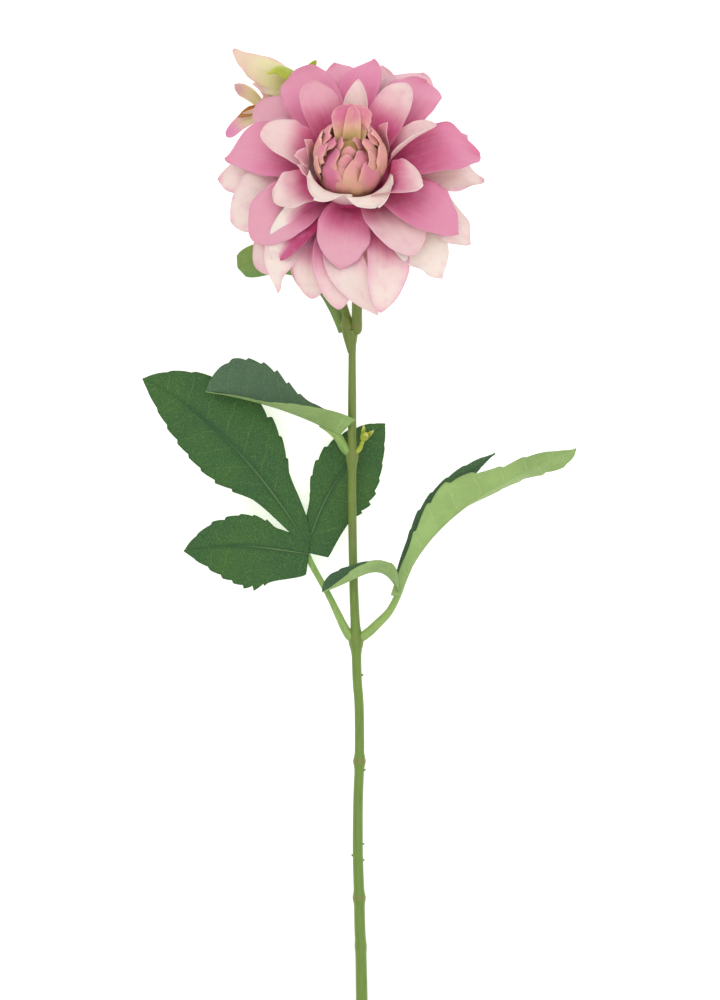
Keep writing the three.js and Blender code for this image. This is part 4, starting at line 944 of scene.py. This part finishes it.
# the thick body where the side branch parts from the neck
FORK_KNOTS = [
    (-3.2, 90, 18.3, 1.5), (-3.9, 95, 18.6, 2.3), (-4.6, 100.5, 18.4, 3.0), (-5.0, 103.5, 18.2, 2.7),
    (-5.6, 107, 17.4, 1.8),
]
NECK_KNOTS = [
    (-1.6, 98.9, 19.4, 1.9), (-0.9, 100.5, 19.7, 2.5), (-0.7, 106, 20.4, 2.3), (-0.6, 115, 21.4, 2.3),
    (-0.6, 126.3, 22.3, 2.4), (-1.6, 140, 21.6, 2.4), (-2.3, 151, 22.4, 2.4), (-2.67, 156.2, 25.9, 2.5),
    (-2.75, 157.3, 28.4, 2.7), (-2.83, 158.4, 30.75, 2.9),
]
SIDE_KNOTS = [
    (-2.8, 99.5, 19.0, 1.7), (-5.9, 108.7, 17.0, 1.7), (-9.0, 119.7, 14.5, 1.6), (-13.4, 139.5, 11.5, 1.5),
    (-16.9, 161.5, 9.5, 1.5), (-18.2, 183.5, 8.4, 1.5), (-16.9, 195.5, 8.7, 1.5), (-17.4, 200.2, 9.2, 1.6),
    (-19.4, 201.14, 9.47, 1.7), (-21.35, 201.34, 9.7, 1.8),
]
# y, extra radius and half length of each swollen joint, a Gaussian
JOINTS = [
    (-173, 0.25, 2), (-151.3, 0.6, 2), (-90.6, 0.75, 2.2), (-37, 1.3, 4), (44.5, 1.0, 4), (100, 0.5, 5),
]
# y, half length and strength of each brown scar
SCARS = [(-151.3, 2.2, 0.6), (-90.6, 2.2, 0.65), (-37, 2.5, 0.3), (44.5, 2.5, 0.35), (101, 2.0, 0.3)]
# y, angle round the stem and height of the small sleeping buds
STEM_BUDS = [(-52.5, 0, 0.8), (-94.6, 10, 0.8), (-127.6, 0, 0.7), (-132.6, 180, 0.7), (-134.8, 0, 0.7)]
BUD_STALK = [(-2.4, 45.4, 16.6, 1.2), (0.3, 47.4, 17.2, 1.1), (1.5, 50, 17.9, 0.9), (2.5, 52.8, 18.8, 0.9)]
BUD = bloom_frame((2.4, 52.6, 18.6), (0.45, 0.75, 0.5), (1, 0, 0))

# A leaflet's row holds its midrib's Bezier points, the ways its face looks at base and tip, its
# half widths and its own options. A leaf's other number is the share of painted sheen on its top: a
# cold grey-green that stands for light glancing off the leaf.
LEAVES = {
    "leaf_left": dict(
        slot="leaf", painted_sheen=0.15,
        leaflets=[
            dict(mid=[(-23.1, 5.5, 9.3), (-36, 28, 12), (-64, 65, 14), (-95.7, 78.8, 7)],
                 face=[(0.1, 0, 1), (-0.1, 0.1, 1)], half=(17.5, 21.5), fold=(12, 12), curl=(-25, -25),
                 teeth=10, widest=0.45, neck=(0.03, 0.12), full=0.95, seed=1),
            dict(mid=[(-23.1, 1.8, 9.3), (-17.8, 25.1, 8), (-5.9, 42.7, 7), (11.7, 59, 6)],
                 face=[(-0.1, 0, 1), (0.1, 0, 1)], half=(12.5, 18), fold=(8, 8), curl=(-18, -18), teeth=8,
                 widest=(0.5, 0.35), neck=(0.15, 0.55), seed=2),
            dict(mid=[(-22, 1.2, 9.6), (-38, 3.5, 12), (-55, 7.5, 11), (-77.4, 2.4, 6)],
                 face=[(0, 0.1, 1), (0, 0, 1)], half=(18.5, 14), fold=(10, 12), curl=(-25, -25), teeth=8,
                 widest=(0.3, 0.42), neck=(0.5, 0.4), seed=3),
        ],
        stalk=[(*LEAF_JOINT, 2.2), (-5.0, -33.5, 12.2, 2.0), (-12.9, -17.6, 10.5, 1.4),
               (-20.9, -3.1, 8.1, 1.4), (-24.6, 5.5, 7.7, 1.3), (-29.2, 12, 8.3, 1.1),
               (-33, 17.5, 8.7, 0.9)],
    ),
    "leaf_upper": dict(
        slot="leaf", painted_sheen=0.9,
        leaflets=[
            dict(mid=[(-8.5, 53.5, 16), (-22, 62, 20), (-45, 69.5, 21), (-67.4, 72.9, 17)],
                 face=[(0, 0.7, 0.7), (0, 0.6, 0.8)], half=(13, 20), fold=(100, 18), fold_tip=(58, 18),
                 unfold=(-0.1, 0.65), curl=(0, -10), teeth=8, widest=(0.12, 0.72), neck=(0.95, 0.4),
                 full=2.2, tip=(1.6, 0.55), ear=0.8, wave=0.5, seed=4),
        ],
        stalk=[(-2.8, 45, 16.1, 2.2), (-6.2, 48.2, 16, 2.1), (-9, 52.8, 15.2, 1.9),
               (-13, 55.8, 15.6, 1.2), (-17, 58.2, 16.1, 0.9)],
    ),
    "leaf_right": dict(
        slot="pale_leaf", painted_sheen=0.6,
        leaflets=[
            dict(mid=[(18, -17.5, 19), (29, 19.5, 24.5), (67.5, 35.5, 26), (95.8, 47.6, 18)],
                 face=[(-0.45, 0.45, 0.7), (-0.2, 0.5, -0.85)], half=(8, 12.5), fold=(4, 98),
                 fold_tip=(15, 40), unfold=(0.6, 1), curl=(0, 10), teeth=9, tooth=0.13, slant=0.05,
                 widest=(0.85, 0.37), neck=(0.1, 0.35), full=2.6, tip=(0.5, 1.2), wave=1.2, seed=5),
            dict(mid=[(17.5, -15.5, 19.5), (9.8, 2.1, 22), (0.6, -10.3, 22.5), (-16, -15.4, 19)],
                 face=[(0, 0.7, 0.7), (0, 0.7, 0.7)], half=(12, 7.5), fold=(72, 18), curl=(0, -20), teeth=5,
                 slant=0, widest=(0.3, 0.85), neck=(0.5, 0.2), tip=(1.3, 0.45), seed=6),
            dict(mid=[(17.5, -16.5, 17.3), (21, 6, 13.5), (40, 31, 11), (60.5, 45.8, 8)],
                 face=[(0, 0, 1), (0, 0, 1)], half=(7, 2.5), fold=(8, 8), curl=(-18, -18), teeth=7,
                 widest=(0.45, 0.5), neck=(0.3, 0.2), tip=1.1, seed=7),
        ],
        stalk=[(*LEAF_JOINT, 2.1), (3, -34.5, 12.6, 2.1), (8.5, -29.5, 14.2, 2.0),
               (13.6, -24, 16.4, 1.7), (17.3, -17, 18, 1.5), (20, -10.5, 18.6, 1.2),
               (22.8, -4.5, 19.4, 0.9)],
    ),
    "bract_leaf": dict(
        slot="pale_leaf", painted_sheen=0.15,
        leaflets=[
            dict(mid=[(-5.5, 99.5, 17), (-12.5, 123, 10), (-26, 141, 8), (-53.5, 128, 8)],
                 face=[(0, 0, 1), (0, 0, 1)], half=(7.3, 7.3), fold=(5, 5), curl=(-10, -10), teeth=3,
                 tooth=0, widest=0.85, neck=0.45, tip=0.3, seed=8),
        ],
        stalk=[(-3.4, 96.5, 18, 1.3), (-5.6, 99.4, 17, 1.4), (-9, 104.5, 14.4, 0.9)],
    ),
}


# ------------------------------------------------------------------ settings
# dyes that a user has no need to change, and the painted sheen of the leaves' top
SHADES = {
    "crown_pink": "f4c6cf", "side_root": "d9d878", "dry_root": "a9882f", "dry_gold": "c98a2e",
    "dry_brown": "8f5a2a", "dry_edge": "7c4a26", "scar_brown": "8f6a48", "painted_sheen_green": "526a5a",
    "leaf_vein": "8aa85a", "leaf_rib": "b2c888", "bract_green": "6f9355", "bract_speck": "86a866",
    "bract_vein": "84a662", "bract_rib": "8aa95c", "stalk_light": "93ad5e", "stalk_dark": "6f9a4c",
    "bud_tip": "e3e08a",
}


def shade(name, description, code):
    """A colour that a user may change."""
    return FloatVectorProperty(name=name, description=description, size=3, subtype="COLOR", min=0, max=1,
                               default=colour(code))


def cloth_thickness(name, description, millimetres):
    """A thickness of cloth that a user may change."""
    return FloatProperty(name=name, description=description, default=millimetres * MM, min=0.1 * MM,
                         max=1.5 * MM, unit="LENGTH", precision=5)


class DahliaSettings(bpy.types.PropertyGroup):
    """Sizes and colours that a user would change."""
    petal_thickness: cloth_thickness("Petal thickness", "Thickness of the petal cloth", 0.45)
    leaf_thickness: cloth_thickness("Leaf thickness", "Thickness of the leaf cloth", 0.5)
    petal_rows: IntProperty(name="Petal rows", description="Rows of faces from a petal's root to its tip",
                            default=44, min=8, max=80)
    petal_columns: IntProperty(name="Petal columns", description="Points across a petal, an odd number",
                               default=25, min=7, max=41)
    deep_pink: shade("Deep pink", "Dye at the root of the petals", "b32a63")
    mid_pink: shade("Pink", "Dye over the middle of the petals", "d7739c")
    cream: shade("Cream", "Undyed outer part of the petals", "efe0d5")
    rim_pink: shade("Rim pink", "Dye along the margins of the pale petals", "dd8fb4")
    heart_gold: shade("Heart gold", "Root of the closed middle's petals", "c2a666")
    heart_peach: shade("Heart peach", "Middle of the closed middle's petals", "e2ad90")
    heart_pink: shade("Heart pink", "Tips of the closed middle's petals", "e28a9a")
    heart_magenta: shade("Heart magenta", "Patches on the closed middle's petals", "cc4797")
    heart_rim: shade("Heart rim", "Margins of the closed middle's petals", "f2d8be")
    side_cream: shade("Side cream", "The half-open bloom's petals", "e9e7b6")
    leaf_green: shade("Leaf green", "Upper side of the leaves", "2b5427")
    leaf_speck: shade("Leaf speck", "Pale threads in the leaf cloth", "6f9a4a")
    leaf_below: shade("Leaf underside", "Underside of the leaves", "92af68")
    stem_low: shade("Lower stem", "Stem near its cut end", "6b8834")
    stem_high: shade("Upper stem", "Stem below the blooms", "6d8034")
    sepal_green: shade("Sepal green", "Sepals, buds and leaf stalks", "a8b53c")
    light_power: FloatProperty(name="Light power", description="Power of the key light in watts",
                               default=8.2, min=0.0, max=100.0)


def settings():
    """The scene's own settings."""
    return bpy.context.scene.dahlia


def dyes(*names):
    """Colours by name, of the settings or of SHADES."""
    return [colour(SHADES[name]) if name in SHADES else tuple(getattr(settings(), name)) for name in names]


# ------------------------------------------------------------------ operators
# metres; the view is VIEW_HEIGHT tall at the height of the leaves, straight from above
FLOOR_HALF = 3.0
VIEW_HEIGHT = 0.44
VIEW_CENTRE = (0.00066, 0.0251, 0.02)
CAMERA_DISTANCE = 1.7
SENSOR = 36.0
# name, place, width and share of the key light's power
LIGHTS = [
    ("key", (-0.5, 0.8, 1.3), 1.0, 0.6), ("fill", (0.9, 0.2, 1.1), 1.3, 0.4),
    ("front", (0.0, -0.5, 1.5), 1.2, 0.6),
]
LIGHT_AIM = (0, 0.1, 0)
WORLD_LIGHT = 0.72
FLOOR_GLOW = 0.45


class DAHLIA_OT_stage(bpy.types.Operator):
    """Pale floor, soft studio light and the camera looking down on the flower"""
    bl_idname = "dahlia.stage"
    bl_label = "Stage and camera"

    def execute(self, context):
        scene = context.scene
        scene.view_settings.view_transform = "Standard"
        mesh = bpy.data.meshes.new("floor")
        signs = ((-1, -1), (1, -1), (1, 1), (-1, 1))
        mesh.from_pydata([(x * FLOOR_HALF, y * FLOOR_HALF, 0) for x, y in signs], [], [(0, 1, 2, 3)])
        floor = bpy.data.objects.new("floor", mesh)
        scene.collection.objects.link(floor)
        finish = Finish("floor_white", 0.9, Base_Color=(0.93, 0.93, 0.93, 1.0), Specular_IOR_Level=0.1,
                        Emission_Color=(1.0, 1.0, 1.0, 1.0), Emission_Strength=FLOOR_GLOW)
        mesh.materials.append(finish.material)
        world = bpy.data.worlds.new("studio")
        scene.world = world
        world.use_nodes = True
        back = world.node_tree.nodes["Background"]
        back.inputs["Color"].default_value = (1.0, 1.0, 1.0, 1.0)
        back.inputs["Strength"].default_value = WORLD_LIGHT
        for name, place, width, share in LIGHTS:
            data = bpy.data.lights.new(name, "AREA")
            data.size = width
            data.energy = settings().light_power * share
            lamp = bpy.data.objects.new(name, data)
            lamp.location = place
            lamp.rotation_euler = (Vector(LIGHT_AIM) - Vector(place)).to_track_quat("-Z", "Y").to_euler()
            scene.collection.objects.link(lamp)
        data = bpy.data.cameras.new("camera")
        data.sensor_width = SENSOR
        data.lens = SENSOR * CAMERA_DISTANCE / VIEW_HEIGHT
        data.clip_end = 100.0
        camera = bpy.data.objects.new("camera", data)
        camera.location = Vector(VIEW_CENTRE) + Vector((0, 0, CAMERA_DISTANCE))
        scene.collection.objects.link(camera)
        scene.camera = camera
        return {"FINISHED"}


class DAHLIA_OT_main_petals(bpy.types.Operator):
    """Receptacle and the back, outer, middle and inner rings of petals of the main bloom"""
    bl_idname = "dahlia.main_petals"
    bl_label = "Main bloom petals"

    def execute(self, context):
        finish = petal_finish("petal_cloth", *dyes("deep_pink", "mid_pink", "cream", "rim_pink", "cream"))
        crown = petal_finish(
            "crown_cloth", *dyes("heart_peach", "crown_pink", "mid_pink", "cream", "crown_pink"))
        ring_piece("petals_outer", OUTER, finish)
        ring_piece("petals_middle", MIDDLE, finish)
        ring_piece("petals_inner", INNER, finish)
        ring_piece("petals_crown", CROWN, crown)
        ring_piece("petals_back", BACK, finish)
        base = Assembly("receptacle")
        base.add(*turned_body(MAIN, RECEPTACLE, 64), along=0.0, reach=0.4, cream=0.2)
        base.piece([finish], "main_bloom_petals")
        return {"FINISHED"}


class DAHLIA_OT_main_centre(bpy.types.Operator):
    """The closed middle: small curled petals on a core"""
    bl_idname = "dahlia.main_centre"
    bl_label = "Main bloom centre"

    def execute(self, context):
        finish = heart_finish(
            "heart_cloth", *dyes("heart_gold", "heart_peach", "heart_pink", "heart_magenta", "heart_rim"))
        core = Assembly("heart_core")
        core.add(*turned_body(MAIN, HEART_CORE, 64), along=0.2, reach=0.6)
        core.piece([finish], "main_bloom_centre")
        tongue = petal_finish(
            "tongue_cloth", *dyes("heart_gold", "heart_peach", "mid_pink", "heart_rim", "heart_peach"))
        ring_piece("heart_tongues", TONGUES, tongue)
        ring_piece("heart", HEART, finish)
        return {"FINISHED"}


class DAHLIA_OT_calyces(bpy.types.Operator):
    """Cups and sepals behind both blooms"""
    bl_idname = "dahlia.calyces"
    bl_label = "Calyces"

    def execute(self, context):
        green, = dyes("sepal_green")
        finish = soft_green_finish("sepal_green", green, tint(green, 0.6), tint(green, 1.3))
        made = Assembly("main_calyx_green")
        made.add(*turned_body(MAIN, MAIN_CUP, 48))
        for k in range(SEPAL_COUNT):
            azimuth = 360 / SEPAL_COUNT * k + 12 + 8 * scatter(k, 21)
            reach, height = 21 + 2 * scatter(k, 22), MAIN_CUP_TOP - 4.5 + scatter(k, 23)
            sheet = petal_sheet(MAIN, azimuth, reach, height, 3.6, (26, 11), seed=k, **SEPAL)
            made.add_sheet(*sheet, SEPAL_THICKNESS)
        made.piece([finish], "main_bloom_calyx")
        made = Assembly("side_calyx_green")
        made.add(*turned_body(SIDE, SIDE_CUP, 40))
        for k, (azimuth, reach, height, half, own) in enumerate(SIDE_SEPALS):
            options = {**SIDE_SEPAL, "seed": k, **own}
            sheet, s, q = petal_sheet(SIDE, azimuth, reach, height, half, (30, 13), **options)
            made.add_sheet(rest_on_table(sheet), s, q, SEPAL_THICKNESS)
        made.piece([finish], "side_bloom_calyx")
        return {"FINISHED"}


class DAHLIA_OT_side_bloom(bpy.types.Operator):
    """The half-open side bloom: a core, loose cream petals and one dry petal"""
    bl_idname = "dahlia.side_bloom"
    bl_label = "Side bloom"

    def execute(self, context):
        finish = petal_finish(
            "side_cloth", *dyes("side_root", "side_cream", "rim_pink", "rim_pink", "side_cream"))
        dry = petal_finish("dry_cloth", *dyes("dry_root", "dry_gold", "dry_brown", "dry_edge", "dry_gold"))
        ring_piece("side_petals", SIDE_RING, finish)
        ring_piece("side_dry_petal", DRY_RING, dry)
        core = Assembly("side_core")
        core.add(*turned_body(SIDE, SIDE_CORE, 40), along=0.1, reach=0.4)
        core.piece([finish], "side_bloom_petals")
        return {"FINISHED"}


class DAHLIA_OT_stem(bpy.types.Operator):
    """The stem with its joints, the neck of the main bloom and the side branch"""
    bl_idname = "dahlia.stem"
    bl_label = "Stem"

    def execute(self, context):
        finish = stem_finish("stem_green", *dyes("stem_low", "stem_high", "scar_brown"))
        made = Assembly("stem_fine")
        path = through(STEM_KNOTS, 14)
        path[:, 3] += sum(more * np.exp(-((path[:, 1] - at) / length) ** 2) for at, more, length in JOINTS)
        made.add(*rod_body(path, 28))
        for knots, around in ((FORK_KNOTS, 24), (NECK_KNOTS, 24), (SIDE_KNOTS, 20)):
            made.add(*rod_body(through(knots, 8), around))
        sunk, forward = 0.5, np.array([0, 0.4, 0])
        for y, angle, size in STEM_BUDS:
            x, _, z, radius = path[np.argmin(np.abs(path[:, 1] - y))]
            away = np.array([cos(radians(angle)), 0, sin(radians(angle))])
            root = np.array([x, y, z]) + away * (radius - sunk)
            tip = root + away * (sunk + size) + forward
            middle = (root + tip) / 2
            made.add(*rod_body([(*root, size * 0.9), (*middle, size * 0.75), (*tip, size * 0.25)], 12))
        made.piece([finish], "stem")
        return {"FINISHED"}


class DAHLIA_OT_leaves(bpy.types.Operator):
    """The three compound leaves and the bract leaf, each with its stalk"""
    bl_idname = "dahlia.leaves"
    bl_label = "Leaves"

    def execute(self, context):
        cloth = leaf_finish(
            "leaf_cloth", *dyes("leaf_green", "leaf_speck", "leaf_vein", "leaf_below", "leaf_rib"))
        bract = leaf_finish(
            "bract_cloth", *dyes("bract_green", "bract_speck", "bract_vein", "leaf_below", "bract_rib"))
        stalk = soft_green_finish("stalk_green", *dyes("stalk_light", "stalk_dark", "stalk_light"), 0.45)
        thickness = settings().leaf_thickness / MM
        for name, leaf in LEAVES.items():
            made = Assembly(name + "_cloth")
            for options in leaf["leaflets"]:
                teeth = options.get("teeth", LEAFLET["teeth"])
                # cream carries each leaf's share of painted sheen on its top
                made.add_sheet(*leaflet_sheet(**options), thickness, teeth=teeth, cream=leaf["painted_sheen"],
                               tone=scatter(options["seed"], 42))
            made.add(*rod_body(through(leaf["stalk"], 8), 20), 1)
            made.piece([bract if name == "bract_leaf" else cloth, stalk], name)
        return {"FINISHED"}


class DAHLIA_OT_axil_bud(bpy.types.Operator):
    """The small bud where the upper leaf meets the stem"""
    bl_idname = "dahlia.axil_bud"
    bl_label = "Axil bud"

    def execute(self, context):
        green, tip = dyes("sepal_green", "bud_tip")
        finish = soft_green_finish("bud_green", green, tint(green, 0.7), tip)
        made = Assembly("bud_fine")
        made.add(*turned_body(BUD, BUD_CORE, 28))
        made.add(*rod_body(through(BUD_STALK, 6), 16))
        for k in range(BUD_SCALE_COUNT):
            azimuth = 360 / BUD_SCALE_COUNT * k + 20
            reach, height = 2.6 + 0.5 * scatter(k, 31), 4.4 + 0.6 * scatter(k, 32)
            sheet = petal_sheet(BUD, azimuth, reach, height, 1.5, (20, 11), seed=k, **BUD_SCALE)
            made.add_sheet(*sheet, BUD_THICKNESS)
        made.piece([finish], "axil_bud")
        return {"FINISHED"}


class DAHLIA_PT_panel(bpy.types.Panel):
    """Lists the pieces of the dahlia"""
    bl_idname = "DAHLIA_PT_panel"
    bl_label = "Dahlia"
    bl_space_type = "VIEW_3D"
    bl_region_type = "UI"
    bl_category = "Dahlia"

    def draw(self, context):
        for name in DahliaSettings.__annotations__:
            self.layout.prop(context.scene.dahlia, name)
        for operator in OPERATORS:
            self.layout.operator(operator.bl_idname)


# in the order in which they run
OPERATORS = (DAHLIA_OT_stage, DAHLIA_OT_stem, DAHLIA_OT_main_petals, DAHLIA_OT_main_centre,
             DAHLIA_OT_calyces, DAHLIA_OT_side_bloom, DAHLIA_OT_leaves, DAHLIA_OT_axil_bud)
CLASSES = (DahliaSettings, *OPERATORS, DAHLIA_PT_panel)


def register():
    """Adds the classes and the scene's settings."""
    for item in CLASSES:
        bpy.utils.register_class(item)
    bpy.types.Scene.dahlia = PointerProperty(type=DahliaSettings)


def unregister():
    """Takes them away again."""
    del bpy.types.Scene.dahlia
    for item in reversed(CLASSES):
        bpy.utils.unregister_class(item)


def main():
    """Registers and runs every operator."""
    register()
    for operator in OPERATORS:
        name = operator.bl_idname.split(".")[1]
        if getattr(bpy.ops.dahlia, name)() != {"FINISHED"}:
            raise RuntimeError(f"{operator.bl_idname} did not finish")


if __name__ == "__main__":
    main()
